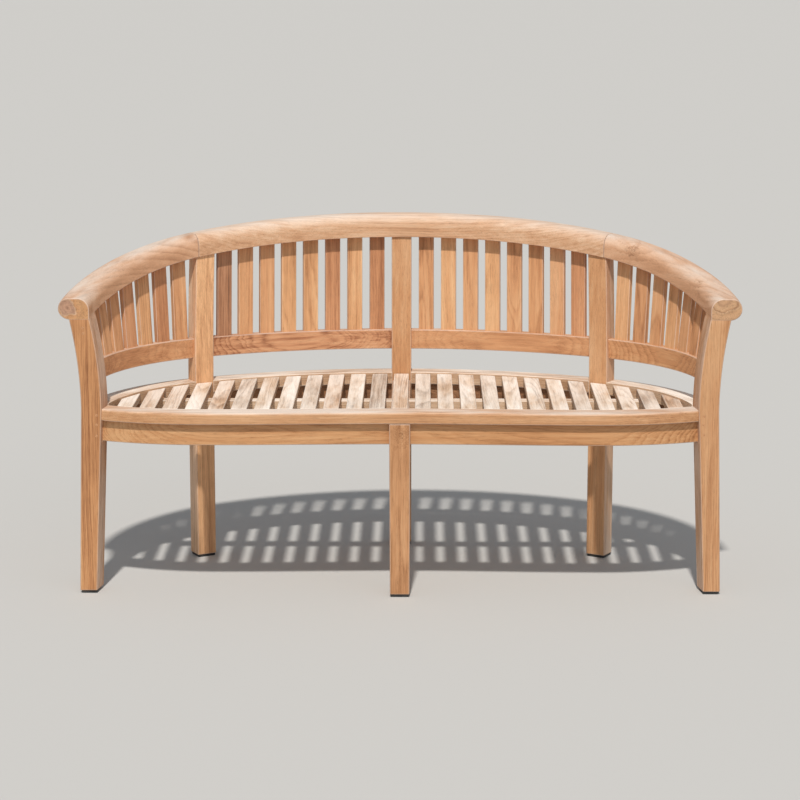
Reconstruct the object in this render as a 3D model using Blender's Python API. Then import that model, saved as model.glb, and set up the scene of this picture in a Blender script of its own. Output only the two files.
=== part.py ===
"""A three-seat teak garden bench with a bowed back, built piece by piece.

Metres, +Z up, +X to the sitter's left as seen from the front, the front faces -Y.
The origin is under the middle of the bench, on the ground.
Every rail, slat and post of the back follows one plan curve, the bow: an arc between the
two side posts, and on each side a second arc that leaves it smoothly and runs forward to
the front legs. Pieces meet in mortise and tenon joints with a small clearance.
"""
import bpy
from math import acos, asin, atan2, cos, hypot, pi, radians, sin, sqrt, tan
from mathutils import Vector

# Clearances and overruns
CLEARANCE = 0.0003
OVERRUN = 0.004
EASE = 0.0015

# The bow, measured at seat height on the middle line of the posts
BOW_RADIUS = 1.021
BOW_DEPTH = 0.500
POST_SPREAD = 0.501
BACK_LEAN = 0.036

# Heights
GLIDE_HEIGHT = 0.006
SEAT_HEIGHT = 0.448
ARM_ABOVE_SEAT = 0.214
BACK_ABOVE_ARM = 0.132

# Top rail, from arm end to arm end
TOP_RAIL_WIDTH = 0.073
ARM_THICKNESS = 0.051
BACK_THICKNESS = 0.057
RISE_START_SHARE = 0.5
RISE_END_SHARE = 0.85
INNER_FACE_SHARE = 0.45
TOP_FLAT_INNER_SHARE = 0.12
TOP_FLAT_OUTER_SHARE = 0.2
UNDERSIDE_OUTER_SHARE = 0.1
INNER_SHOULDER_STEPS = 5
OUTER_ROUND_STEPS = 4
BOW_STEPS = 18
ARM_STEPS = 13

# Front legs
LEG_DEPTH = 0.055
LEG_INNER_AT_SEAT = 0.7045
LEG_WIDTH_AT_SEAT = 0.048
LEG_WIDTH_AT_FOOT = 0.0405
LEG_SPLAY = 0.0125
LEG_FLARE = 0.023
SIDE_RAIL_LAP = 0.018
ARM_OVERHANG = 0.013
LEG_INNER_TURN = radians(9.5)
LEG_FLARE_STEPS = 6
CENTRE_LEG_WIDTH = 0.050
CENTRE_LEG_FOOT_WIDTH = 0.0465

# Rear posts
POST_WIDTH = 0.050
POST_DEPTH = 0.045
POST_STEPS = 6

# Post and leg tenons under the top rail and under the seat
POST_TENON_SIDE = 0.024
POST_TENON_LENGTH = 0.026
LEG_TENON_LENGTH = 0.013

# Seat frame
SEAT_RAIL_WIDTH = 0.055
SEAT_RAIL_THICKNESS = 0.0275
FRONT_WAIST = 0.031
FRONT_BULGE = 0.014
FRONT_BULGE_SPREAD = 0.47
FRONT_END_SETBACK = 0.003
FRONT_EDGE_ROUND = 0.006
EDGE_STEPS = 3
FRONT_RAIL_HOUSING = 0.004
APRON_THICKNESS = 0.022
APRON_HEIGHT = 0.051
APRON_SETBACK = 0.011

# Seat slats, as many as fit between the legs, carried by one long bearer
SLAT_PITCH = 0.0545
SLAT_WIDTH = 0.038
SLAT_END_ROOM = 0.020
SLAT_THICKNESS = 0.018
TONGUE_THICKNESS = 0.007
TONGUE_LENGTH = 0.009
BEARER_BITE = 0.009
BEARER_WIDTH = 0.034
BEARER_HEIGHT = 0.035
BEARER_HOUSING = 0.001
CROSS_RAIL_WIDTH = 0.045
CROSS_RAIL_HEIGHT = 0.050

# Lower back rails
LOWER_RAIL_ABOVE_SEAT = 0.0855
LOWER_RAIL_HEIGHT = 0.049
LOWER_RAIL_THICKNESS = 0.026
BAY_STEPS = 7

# Back slats
CENTRE_BAY_SLATS = 8
SIDE_BAY_SLATS = 7
SIDE_SLAT_START_SHARE = 0.0833
SIDE_SLAT_PITCH_SHARE = 0.1410
SIDE_SLAT_LEAN = 0.030
BACK_SLAT_WIDTH = 0.035
BACK_SLAT_THICKNESS = 0.013
BACK_SLAT_HOUSING = 0.012

# Rail tenons
TENON_LENGTH = 0.016
TENON_THICKNESS = 0.010
TENON_MARGIN = 0.009
SIDE_TENON_SHIFT = 0.009

# Glides under the feet
GLIDE_INSET = 0.002
GLIDE_EASE = 0.001
PIN_RADIUS = 0.003
PIN_LENGTH = 0.014
PIN_SIDES = 8

# Colours, red green blue
TEAK_GOLD = (0.55, 0.32, 0.15)
TEAK_HONEY = (0.60, 0.36, 0.18)
TEAK_RUSSET = (0.46, 0.24, 0.11)
TEAK_PALE = (0.68, 0.49, 0.32)
BLACK_PLASTIC = (0.012, 0.012, 0.013)
TEAK_ROUGHNESS = 0.62
PLASTIC_ROUGHNESS = 0.45

# Worked-out sizes that several pieces share
ARM_UNDERSIDE = SEAT_HEIGHT + ARM_ABOVE_SEAT
BACK_UNDERSIDE = ARM_UNDERSIDE + BACK_ABOVE_ARM
LOWER_RAIL_MIDDLE = SEAT_HEIGHT + LOWER_RAIL_ABOVE_SEAT
LEG_OUTER_AT_SEAT = LEG_INNER_AT_SEAT + LEG_WIDTH_AT_SEAT
LEG_OUTER_AT_FOOT = LEG_OUTER_AT_SEAT + LEG_SPLAY
LEG_INNER_AT_FOOT = LEG_OUTER_AT_FOOT - LEG_WIDTH_AT_FOOT
SIDE_SPREAD = LEG_INNER_AT_SEAT + SIDE_RAIL_LAP
ARM_SPREAD = LEG_INNER_AT_SEAT + LEG_FLARE + LEG_WIDTH_AT_SEAT / 2 + ARM_OVERHANG
FRONTMOST = -FRONT_WAIST - FRONT_BULGE
FRONT_RAIL_END = LEG_INNER_AT_SEAT + FRONT_RAIL_HOUSING
BOW_TURN = asin(POST_SPREAD / BOW_RADIUS)
BOW_CENTRE_Y = BOW_DEPTH - BOW_RADIUS
MIDDLE_Y = (BOW_DEPTH + BACK_LEAN + TOP_RAIL_WIDTH / 2 + FRONTMOST) / 2
SEAT_RAIL_BOTTOM = SEAT_HEIGHT - SEAT_RAIL_THICKNESS
APRON_TOP = SEAT_RAIL_BOTTOM - CLEARANCE
APRON_BOTTOM = APRON_TOP - APRON_HEIGHT
SLAT_BOTTOM = SEAT_HEIGHT - SLAT_THICKNESS
TONGUE_BOTTOM = SLAT_BOTTOM + (SLAT_THICKNESS - TONGUE_THICKNESS) / 2
BEARER_BOTTOM = SLAT_BOTTOM - BEARER_HEIGHT
CROSS_RAIL_TOP = SLAT_BOTTOM - CLEARANCE
LAP_HEIGHT = (CROSS_RAIL_TOP + BEARER_BOTTOM) / 2
POST_FACE = POST_DEPTH / 2
CENTRE_LEG_Y = LEG_DEPTH / 2 - FRONT_WAIST
SLATS_PER_SIDE = int((LEG_INNER_AT_SEAT - SLAT_END_ROOM - SLAT_WIDTH / 2) / SLAT_PITCH)
UP = Vector((0, 0, 1))
SIDES = {"left": -1, "right": 1}
POSTS = {"left": -1, "centre": 0, "right": 1}


# Scene and mesh helpers

def clear_scene():
    for item in list(bpy.data.objects):
        bpy.data.objects.remove(item, do_unlink=True)


def make_material(name, colour, roughness):
    material = bpy.data.materials.new(name)
    material.use_nodes = True
    shader = material.node_tree.nodes["Principled BSDF"]
    shader.inputs["Base Color"].default_value = (*colour, 1)
    shader.inputs["Roughness"].default_value = roughness
    shader.inputs["Metallic"].default_value = 0
    return material


def loft_faces(rings, first):
    """Faces of a closed solid through rings of equal length, capped at both ends."""
    count = len(rings[0])
    faces = [tuple(first + i for i in reversed(range(count)))]
    for level in range(len(rings) - 1):
        low = first + level * count
        high = low + count
        for i in range(count):
            j = (i + 1) % count
            faces.append((low + i, low + j, high + j, high + i))
    faces.append(tuple(first + (len(rings) - 1) * count + i for i in range(count)))
    return faces


def signed_volume(points, faces):
    total = 0
    for face in faces:
        a = points[face[0]]
        for i in range(1, len(face) - 1):
            total += a.dot(points[face[i]].cross(points[face[i + 1]]))
    return total


def mesh_of_lofts(name, lofts):
    """One mesh of one or more closed lofts, each with its faces pointing out."""
    points = []
    faces = []
    for rings in lofts:
        first = len(points)
        points.extend(Vector(p) for ring in rings for p in ring)
        body = loft_faces(rings, first)
        if signed_volume(points, body) < 0:
            body = [tuple(reversed(face)) for face in body]
        faces.extend(body)
    mesh = bpy.data.meshes.new(name)
    mesh.from_pydata([tuple(p) for p in points], [], faces)
    mesh.update()
    return mesh


def add_object(name, mesh):
    item = bpy.data.objects.new(name, mesh)
    item.parent = BENCH
    bpy.context.scene.collection.objects.link(item)
    return item


def add_piece(name, lofts, colour, roughness=TEAK_ROUGHNESS):
    piece = add_object(name, mesh_of_lofts(name, lofts))
    piece.data.materials.append(make_material(name + "_finish", colour, roughness))
    return piece


def add_tool(name, lofts):
    """A helper solid that only joins to or cuts from a piece."""
    tool = add_object(name, mesh_of_lofts(name, lofts))
    tool.hide_render = True
    tool.display_type = "WIRE"
    return tool


def boolean(piece, tool, operation):
    step = piece.modifiers.new(operation.lower() + "_" + tool.name, "BOOLEAN")
    step.operation = operation
    step.solver = "EXACT"
    step.object = tool


def shade(piece, sharp_turn=radians(30)):
    piece.data.shade_smooth()
    piece.data.set_sharp_from_angle(angle=sharp_turn)


# Outline helpers

def eased(corners, ease=EASE):
    """The outline with each corner cut back by the ease."""
    outline = []
    for i, corner in enumerate(corners):
        here = Vector(corner)
        for other in (corners[i - 1], corners[(i + 1) % len(corners)]):
            away = Vector(other) - here
            outline.append(here + away.normalized() * ease)
    return outline


def rectangle(width, height, across=0, up=0):
    """Corners of a rectangle around a point, from its lower left."""
    return [(across - width / 2, up - height / 2), (across + width / 2, up - height / 2),
            (across + width / 2, up + height / 2), (across - width / 2, up + height / 2)]


def quarter_ellipse(centre, radii, start, end, steps):
    return [(centre[0] + radii[0] * cos(start + (end - start) * i / steps),
             centre[1] + radii[1] * sin(start + (end - start) * i / steps)) for i in range(steps + 1)]


def mix(a, b, share):
    return a + (b - a) * share


def smooth_step(share):
    """From 0 to 1, level at both ends."""
    return share * share * (3 - 2 * share)


# The bow

class Bow:
    """The plan curve of the back at one share of its lean, from 0 at the seat to 1 at the top.

    A place on it is given by its reach: 0 at the centre post, 1 where its arcs meet and 2 at
    the front plane, negative on the left. Where the side posts stand is its post reach.
    """

    def __init__(self, lean_share):
        self.radius = BOW_RADIUS + BACK_LEAN * lean_share
        end_x = mix(SIDE_SPREAD, ARM_SPREAD, lean_share)
        joint = self.radius * Vector((sin(BOW_TURN), cos(BOW_TURN)))
        joint.y += BOW_CENTRE_Y
        run = end_x - joint.x
        chord = hypot(run, joint.y)
        half_turn = atan2(joint.y, run) - BOW_TURN
        self.side_turn = 2 * half_turn
        self.side_radius = chord / (2 * sin(half_turn))
        self.side_centre = joint - self.side_radius * Vector((sin(BOW_TURN), cos(BOW_TURN)))
        self.post_reach = asin(POST_SPREAD / self.radius) / BOW_TURN

    def turn(self, reach):
        size = abs(reach)
        angle = BOW_TURN * size if size <= 1 else BOW_TURN + self.side_turn * (size - 1)
        return angle if reach >= 0 else -angle

    def point(self, reach, outward=0):
        """Plan point at a reach, moved outward square to the curve."""
        angle = self.turn(abs(reach))
        if abs(reach) <= 1:
            x = (self.radius + outward) * sin(angle)
            y = BOW_CENTRE_Y + (self.radius + outward) * cos(angle)
        else:
            x = self.side_centre.x + (self.side_radius + outward) * sin(angle)
            y = self.side_centre.y + (self.side_radius + outward) * cos(angle)
        return Vector((x if reach >= 0 else -x, y, 0))

    def normal(self, reach):
        angle = self.turn(reach)
        return Vector((sin(angle), cos(angle), 0))

    def tangent(self, reach):
        angle = self.turn(reach)
        return Vector((cos(angle), -sin(angle), 0))

    def reach_past_post(self, distance):
        """Reach of a point that lies past a side post's middle by a distance along the bow."""
        to_joint = (1 - self.post_reach) * self.radius * BOW_TURN
        return 1 + (distance - to_joint) / (self.side_radius * self.side_turn)

    def reach_before_post(self, distance):
        return self.post_reach - distance / (self.radius * BOW_TURN)

    def reach_past_centre(self, distance):
        return distance / (self.radius * BOW_TURN)

    def reach_at_depth(self, depth, outward=0):
        """Reach where the side arc passes a depth behind the front plane."""
        angle = acos((depth - self.side_centre.y) / (self.side_radius + outward))
        return 1 + (angle - BOW_TURN) / self.side_turn


def underside(reach):
    """Height of the top rail's underside: it climbs from the arms to the back."""
    share = TOP_BOW.point(reach).y / TOP_BOW.point(0).y
    start = RISE_START_SHARE * share * (1 - share) ** 2
    end = RISE_END_SHARE * share * share * (1 - share)
    return mix(ARM_UNDERSIDE, BACK_UNDERSIDE, smooth_step(share) + start - end)


def post_middle(post, height):
    """Plan point of a rear post's middle: upright to the seat, then leaning straight back."""
    foot = SEAT_BOW.point(post)
    head = TOP_BOW.point(post * TOP_BOW.post_reach)
    share = max(height - SEAT_HEIGHT, 0) / (post_top(post) - SEAT_HEIGHT)
    return mix(foot, Vector((foot.x, head.y, 0)), share * (1 + share) / 2)


def post_top(post):
    return underside(post * TOP_BOW.post_reach)


# Sections and sweeps

def top_rail_section(thickness, grow=0):
    """Outline of the top rail: a soft inner shoulder, a flat top and a full outer round.

    Across is outward from the bow and up is from the underside.
    """
    width = TOP_RAIL_WIDTH + 2 * grow
    tall = thickness + 2 * grow
    face = INNER_FACE_SHARE * tall
    inner = -TOP_FLAT_INNER_SHARE * width
    outer = TOP_FLAT_OUTER_SHARE * width
    under = UNDERSIDE_OUTER_SHARE * width
    edge = width / 2
    outline = [(EASE - edge, 0), (-edge, EASE)]
    outline += quarter_ellipse((inner, face), (edge + inner, tall - face), pi, pi / 2,
                               INNER_SHOULDER_STEPS)
    outline += quarter_ellipse((outer, tall / 2), (edge - outer, tall / 2), pi / 2, 0,
                               OUTER_ROUND_STEPS)
    outline += quarter_ellipse((under, tall / 2), (edge - under, tall / 2), 0, -pi / 2,
                               OUTER_ROUND_STEPS)[1:]
    return [(across, up - grow) for across, up in outline]


def ring(origin, across, outline, height=0):
    """The outline placed upright, across a plan direction, at a height."""
    return [origin + across * p[0] + UP * (p[1] + height) for p in outline]


def top_rail_rings(first, last, steps, grow=0):
    """Rings of a stretch of the top rail between two reaches."""
    rings = []
    for i in range(steps + 1):
        reach = mix(first, last, i / steps)
        share = (underside(reach) - ARM_UNDERSIDE) / (BACK_UNDERSIDE - ARM_UNDERSIDE)
        section = top_rail_section(mix(ARM_THICKNESS, BACK_THICKNESS, share), grow)
        across = TOP_BOW.normal(reach)
        if abs(reach) >= 2:
            across = Vector((1 if reach > 0 else -1, 0, 0))
        rings.append(ring(TOP_BOW.point(reach), across, section, underside(reach)))
    return rings


class Joint:
    """A shoulder plane where a rail ends: its middle, the way out of the rail and across."""

    def __init__(self, origin, out, across):
        self.origin = origin
        self.out = out
        self.across = across

    def tenon(self, width, height, middle, shift=0, length=TENON_LENGTH, grow=0):
        """Rings of a tenon, or with grow those of its mortise."""
        outline = rectangle(width + 2 * grow, height + 2 * grow, shift, middle)
        start = self.origin - self.out * OVERRUN
        end = self.origin + self.out * (length + grow)
        return [ring(start, self.across, outline), ring(end, self.across, outline)]


def bay_joints(bow, bay, side, sink=0):
    """The two shoulder planes of a rail in a bay, at the bow's middle line.

    Sink is how far the rail runs into the posts before it is cut to fit them.
    """
    post = bow.point(side * bow.post_reach)
    normal = SEAT_BOW.normal(side)
    tangent = SEAT_BOW.tangent(side) * side
    half = POST_WIDTH / 2 + CLEARANCE - sink
    if bay == "centre":
        start = bow.point(side * bow.reach_past_centre(half))
        start.x = side * half
        inner = Joint(start, Vector((-side, 0, 0)), Vector((0, 1, 0)))
        near = bow.point(side * bow.reach_before_post(half))
        offset = normal * (near - post).dot(normal)
        outer = Joint(post - tangent * half + offset, tangent, normal)
        return inner, outer
    near = bow.point(side * bow.reach_past_post(half))
    offset = normal * (near - post).dot(normal)
    inner = Joint(post + tangent * half + offset, -tangent, normal)
    depth = LEG_DEPTH + CLEARANCE
    end = bow.point(side * bow.reach_at_depth(depth))
    end.y = depth
    outer = Joint(end, Vector((0, -1, 0)), Vector((side, 0, 0)))
    return inner, outer


def bay_reaches(bow, bay, side, steps):
    """Reaches of the stations between the two shoulders of a bay."""
    half = POST_WIDTH / 2 + CLEARANCE
    if bay == "centre":
        first = bow.reach_past_centre(half)
        last = bow.reach_before_post(half)
    else:
        first = bow.reach_past_post(half)
        last = bow.reach_at_depth(LEG_DEPTH + CLEARANCE)
    return [side * mix(first, last, i / steps) for i in range(1, steps)]


def bay_rail_rings(bow, bay, side, outline, sink=0):
    """Rings of a rail swept along the bow through one bay, with flush shoulders."""
    inner, outer = bay_joints(bow, bay, side, sink)
    rings = [ring(inner.origin, inner.across, outline)]
    for reach in bay_reaches(bow, bay, side, BAY_STEPS):
        rings.append(ring(bow.point(reach), bow.normal(reach), outline))
    rings.append(ring(outer.origin, outer.across, outline))
    return rings


# The front line of the seat

def front_line(across):
    """Depth of the seat's front edge: two soft bulges with a waist at the centre leg."""
    side = abs(across)
    if side <= FRONT_BULGE_SPREAD:
        return -FRONT_WAIST - FRONT_BULGE * smooth_step(side / FRONT_BULGE_SPREAD)
    run = LEG_INNER_AT_SEAT - FRONT_BULGE_SPREAD
    drop = FRONT_END_SETBACK - FRONTMOST
    radius = (run * run + drop * drop) / (2 * drop)
    return radius + FRONTMOST - sqrt(radius * radius - (side - FRONT_BULGE_SPREAD) ** 2)


def slat_gap_middles(first, last):
    """The middles of the gaps between seat slats that lie between two places."""
    slats = range(-SLATS_PER_SIDE, SLATS_PER_SIDE + 2)
    middles = [SLAT_PITCH * i - SLAT_PITCH / 2 for i in slats]
    return [x for x in middles if first + OVERRUN < x < last - OVERRUN]


def front_rail_rings(section, first, last):
    """Rings of a rail that follows the seat's front line, with a station at each slat gap.

    The section's first value is the distance behind the front line, the second its height.
    """
    stations = [first] + slat_gap_middles(first, last) + [last]
    return [[Vector((x, front_line(x) + back, height)) for back, height in section]
            for x in stations]


# Front legs

def leg_edges(height):
    """Inner and outer face of a side front leg at a height, at its front."""
    if height <= SEAT_HEIGHT:
        share = height / SEAT_HEIGHT
        inner = mix(LEG_INNER_AT_FOOT, LEG_INNER_AT_SEAT, share)
        outer = mix(LEG_OUTER_AT_FOOT, LEG_OUTER_AT_SEAT, share)
        return inner, outer
    share = (height - SEAT_HEIGHT) / (ARM_UNDERSIDE - SEAT_HEIGHT)
    flare = LEG_FLARE * share * share
    return LEG_INNER_AT_SEAT + flare, LEG_OUTER_AT_SEAT + flare


def side_leg_ring(height, side):
    inner, outer = leg_edges(height)
    back_inner = inner - tan(LEG_INNER_TURN) * LEG_DEPTH
    corners = [(inner, 0), (outer, 0), (outer, LEG_DEPTH), (back_inner, LEG_DEPTH)]
    return [Vector((side * p.x, p.y, height)) for p in eased(corners)]


def make_side_leg(name, side):
    head = underside(2) + INNER_FACE_SHARE * ARM_THICKNESS
    heights = [GLIDE_HEIGHT + CLEARANCE]
    for i in range(LEG_FLARE_STEPS + 1):
        heights.append(mix(SEAT_HEIGHT, head, i / LEG_FLARE_STEPS))
    leg = add_piece(name, [[side_leg_ring(h, side) for h in heights]], TEAK_GOLD)
    boolean(leg, RAIL_SPACE, "DIFFERENCE")
    boolean(leg, add_tool(name + "_tenon", [leg_tenon(side)]), "UNION")
    for housing, rings in (("rail", front_rail_ring_set(CLEARANCE)),
                           ("apron", front_apron_ring_set(side, CLEARANCE))):
        boolean(leg, add_tool(name + "_" + housing + "_housing", [rings]), "DIFFERENCE")
    return leg


def leg_tenon(side, grow=0):
    """The tenon on a side front leg that enters the arm."""
    inner, outer = leg_edges(underside(2))
    middle = Vector((side * (inner + outer) / 2, LEG_DEPTH / 2, 0))
    low = underside(2) - OVERRUN
    high = underside(2) + POST_TENON_LENGTH + grow
    return upright_tenon(middle, Vector((1, 0, 0)), Vector((0, 1, 0)), low, high, grow)


def upright_tenon(middle, across, away, low, high, grow=0):
    outline = rectangle(POST_TENON_SIDE + 2 * grow, POST_TENON_SIDE + 2 * grow)
    return [[middle + across * p[0] + away * p[1] + UP * h for p in outline] for h in (low, high)]


def make_centre_leg():
    heights = (GLIDE_HEIGHT + CLEARANCE, SEAT_RAIL_BOTTOM - CLEARANCE)
    rings = []
    for height in heights:
        share = height / SEAT_HEIGHT
        width = mix(CENTRE_LEG_FOOT_WIDTH, CENTRE_LEG_WIDTH, share)
        outline = eased(rectangle(width, LEG_DEPTH, 0, CENTRE_LEG_Y))
        rings.append([Vector((p.x, p.y, height)) for p in outline])
    leg = add_piece("front_leg_centre", [rings], TEAK_GOLD)
    boolean(leg, add_tool("front_leg_centre_tenon", [centre_leg_tenon()]), "UNION")
    return leg


def centre_leg_tenon(grow=0):
    middle = Vector((0, CENTRE_LEG_Y, 0))
    low = SEAT_RAIL_BOTTOM - OVERRUN
    high = SEAT_RAIL_BOTTOM + LEG_TENON_LENGTH + grow
    return upright_tenon(middle, Vector((1, 0, 0)), Vector((0, 1, 0)), low, high, grow)


# Rear posts

def post_ring(post, height, grow=0):
    """A post's section at a height, for the post -1, 0 or 1."""
    origin = post_middle(post, height)
    outline = eased(rectangle(POST_WIDTH + 2 * grow, POST_DEPTH + 2 * grow))
    across, away = SEAT_BOW.tangent(post), SEAT_BOW.normal(post)
    return [origin + across * p.x + away * p.y + UP * height for p in outline]


def post_tenon(post, grow=0):
    """The tenon on a rear post that enters the top rail."""
    top = post_top(post)
    low = top - OVERRUN
    high = top + POST_TENON_LENGTH + grow
    across, away = SEAT_BOW.tangent(post), SEAT_BOW.normal(post)
    return upright_tenon(post_middle(post, top), across, away, low, high, grow)


def post_rings(post, grow=0):
    """Rings of a post's leaning part, from the seat to its top."""
    top = post_top(post)
    heights = [mix(SEAT_HEIGHT, top, i / POST_STEPS) for i in range(POST_STEPS + 1)]
    return [post_ring(post, height, grow) for height in heights]


def make_post(name, post):
    top = post_top(post)
    foot = post_ring(post, GLIDE_HEIGHT + CLEARANCE)
    head = post_ring(post, top + POST_DEPTH / 2)
    piece = add_piece(name, [[foot] + post_rings(post) + [head]], TEAK_GOLD)
    boolean(piece, RAIL_SPACE, "DIFFERENCE")
    boolean(piece, add_tool(name + "_tenon", [post_tenon(post)]), "UNION")
    return piece


# Top rail

def make_top_rails():
    pieces = {}
    half_gap = CLEARANCE / 2
    end_before = 1 - half_gap / (TOP_BOW.radius * BOW_TURN)
    start_past = 1 + half_gap / (TOP_BOW.side_radius * TOP_BOW.side_turn)
    pieces["centre"] = add_piece(
        "top_rail_centre", [top_rail_rings(-end_before, end_before, BOW_STEPS)], TEAK_HONEY)
    for side_name, side in SIDES.items():
        rings = top_rail_rings(side * start_past, side * 2, ARM_STEPS)
        pieces[side_name] = add_piece("top_rail_" + side_name, [rings], TEAK_HONEY)
    return pieces


# Back slats

def centre_bay_reaches():
    """Reaches of the slats of half the centre bay, low and high: evenly spread and upright."""
    first = LOWER_BOW.reach_past_centre(POST_WIDTH / 2)
    last = LOWER_BOW.reach_before_post(POST_WIDTH / 2)
    clear = (last - first) * LOWER_BOW.radius * BOW_TURN
    gap = (clear - CENTRE_BAY_SLATS * BACK_SLAT_WIDTH) / (CENTRE_BAY_SLATS + 1)
    pairs = []
    for i in range(CENTRE_BAY_SLATS):
        share = (gap + BACK_SLAT_WIDTH / 2 + (gap + BACK_SLAT_WIDTH) * i) / clear
        low = mix(first, last, share)
        pairs.append((low, asin(LOWER_BOW.point(low).x / TOP_BOW.radius) / BOW_TURN))
    return pairs


def side_bay_reaches():
    """Reaches of the slats of a side bay, low and high, as they lean back with the posts."""
    first = LOWER_BOW.reach_past_post(POST_WIDTH / 2)
    last = LOWER_BOW.reach_at_depth(LEG_DEPTH)
    pairs = []
    for i in range(SIDE_BAY_SLATS):
        low = mix(first, last, SIDE_SLAT_START_SHARE + SIDE_SLAT_PITCH_SHARE * i)
        pairs.append((low, TOP_BOW.reach_at_depth(LOWER_BOW.point(low).y + SIDE_SLAT_LEAN)))
    return pairs


def back_slat_rings(low_reach, high_reach, grow=0):
    """A back slat from its housing in the lower rail to its housing in the top rail."""
    low = LOWER_BOW.point(low_reach)
    low.z = LOWER_RAIL_MIDDLE + LOWER_RAIL_HEIGHT / 2
    high = TOP_BOW.point(high_reach)
    high.z = underside(high_reach)
    along = (high - low).normalized()
    across = (LOWER_BOW.tangent(low_reach) + TOP_BOW.tangent(high_reach)).normalized()
    away = UP.cross(across)
    outline = eased(rectangle(BACK_SLAT_WIDTH + 2 * grow, BACK_SLAT_THICKNESS + 2 * grow))
    start = low - along * (BACK_SLAT_HOUSING + grow)
    end = high + along * (BACK_SLAT_HOUSING + grow)
    return [[place + across * p.x + away * p.y for p in outline] for place in (start, end)]


def bay_slat_lofts(bay, side, grow=0):
    pairs = centre_bay_reaches() if bay == "centre" else side_bay_reaches()
    return [back_slat_rings(side * low, side * high, grow) for low, high in pairs]


def make_back_slats(lower_rails):
    """All back slats. The last one of each side bay is one solid with its lower rail."""
    number = 0
    for side_name, side in SIDES.items():
        for bay in ("side", "centre"):
            lofts = bay_slat_lofts(bay, side)
            if bay == "side":
                last = add_tool("last_slat_" + side_name, [lofts.pop()])
                boolean(lower_rails[side_name + "_side"], last, "UNION")
            for i, rings in enumerate(lofts):
                number += 1
                colour = (TEAK_HONEY, TEAK_RUSSET, TEAK_GOLD)[(i * i + number) % 3]
                add_piece("back_slat_{:02d}".format(number), [rings], colour)


# Lower back rails, seat rails and aprons that follow the bow

def lower_rail_outline():
    return eased(rectangle(LOWER_RAIL_THICKNESS, LOWER_RAIL_HEIGHT, 0, LOWER_RAIL_MIDDLE))


def seat_rail_outline(inner, outer, grow=0):
    """Seat rail section with a groove for the slat tongues in its inner edge.

    Inner and outer are distances across. A grown section, for a housing, has no groove.
    """
    toward = 1 if outer > inner else -1
    inner -= toward * grow
    outer += toward * grow
    bottom = SEAT_RAIL_BOTTOM - grow
    top = SEAT_HEIGHT + grow
    outline = [(inner, bottom)]
    if not grow:
        groove = inner + toward * (TONGUE_LENGTH + CLEARANCE)
        low = TONGUE_BOTTOM - CLEARANCE
        high = TONGUE_BOTTOM + TONGUE_THICKNESS + CLEARANCE
        outline += [(inner, low), (groove, low), (groove, high), (inner, high)]
    outline += [(inner, top - EASE), (inner + toward * EASE, top)]
    centre = (outer - toward * FRONT_EDGE_ROUND, top - FRONT_EDGE_ROUND)
    radii = (toward * FRONT_EDGE_ROUND, FRONT_EDGE_ROUND)
    outline += quarter_ellipse(centre, radii, pi / 2, 0, EDGE_STEPS)
    outline += [(outer, bottom + EASE), (outer - toward * EASE, bottom)]
    return outline


def apron_outline():
    middle = (APRON_TOP + APRON_BOTTOM) / 2
    return eased(rectangle(APRON_THICKNESS, APRON_HEIGHT, 0, middle))


class BayRail:
    """A rail through one bay of the bow, with a tenon at each shoulder."""

    def __init__(self, name, bow, bay, side, outline, tenon, leg_shift=0, fitted=False):
        self.name = name
        self.bow = bow
        self.bay = bay
        self.side = side
        self.outline = outline
        self.tenon = tenon
        self.leg_shift = leg_shift
        self.fitted = fitted

    def tenons(self, grow=0):
        inner, outer = bay_joints(self.bow, self.bay, self.side)
        width, height, middle, shift = self.tenon
        end_shift = self.leg_shift if self.bay == "side" else shift
        return [inner.tenon(width, height, middle, shift, grow=grow),
                outer.tenon(width, height, middle, end_shift, grow=grow)]

    def make(self, colour):
        sink = OVERRUN if self.fitted else 0
        rings = bay_rail_rings(self.bow, self.bay, self.side, self.outline, sink)
        piece = add_piece(self.name, [rings], colour)
        if self.fitted:
            for space in POST_SPACES:
                boolean(piece, space, "DIFFERENCE")
        boolean(piece, add_tool(self.name + "_tenons", self.tenons()), "UNION")
        return piece


def bay_rails():
    """All rails that follow the bow, by kind, bay and side."""
    rails = []
    lower = lower_rail_outline()
    lower_tenon = (TENON_THICKNESS, LOWER_RAIL_HEIGHT - 2 * TENON_MARGIN, LOWER_RAIL_MIDDLE, 0)
    seat = seat_rail_outline(-POST_FACE, SEAT_RAIL_WIDTH - POST_FACE)
    seat_middle = (SEAT_HEIGHT + SEAT_RAIL_BOTTOM) / 2
    seat_shift = TONGUE_LENGTH / 2
    seat_tenon = (POST_DEPTH / 2, TENON_THICKNESS, seat_middle, seat_shift)
    apron = apron_outline()
    apron_tenon = (TENON_THICKNESS, APRON_HEIGHT - 2 * TENON_MARGIN,
                   (APRON_TOP + APRON_BOTTOM) / 2, 0)
    for side_name, side in SIDES.items():
        for bay in ("centre", "side"):
            tail = side_name + "_" + bay
            rails.append(BayRail("lower_back_rail_" + tail, LOWER_BOW, bay, side, lower, lower_tenon,
                                 fitted=True))
            rails.append(BayRail("seat_rear_rail_" + tail, SEAT_BOW, bay, side, seat, seat_tenon,
                                 SIDE_TENON_SHIFT))
            rails.append(BayRail("rear_apron_" + tail, SEAT_BOW, bay, side, apron, apron_tenon,
                                 SIDE_TENON_SHIFT))
    return rails


# Front rail and front aprons

def front_rail_ring_set(grow=0):
    end = FRONT_RAIL_END + grow
    return front_rail_rings(seat_rail_outline(SEAT_RAIL_WIDTH, 0, grow), -end, end)


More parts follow.
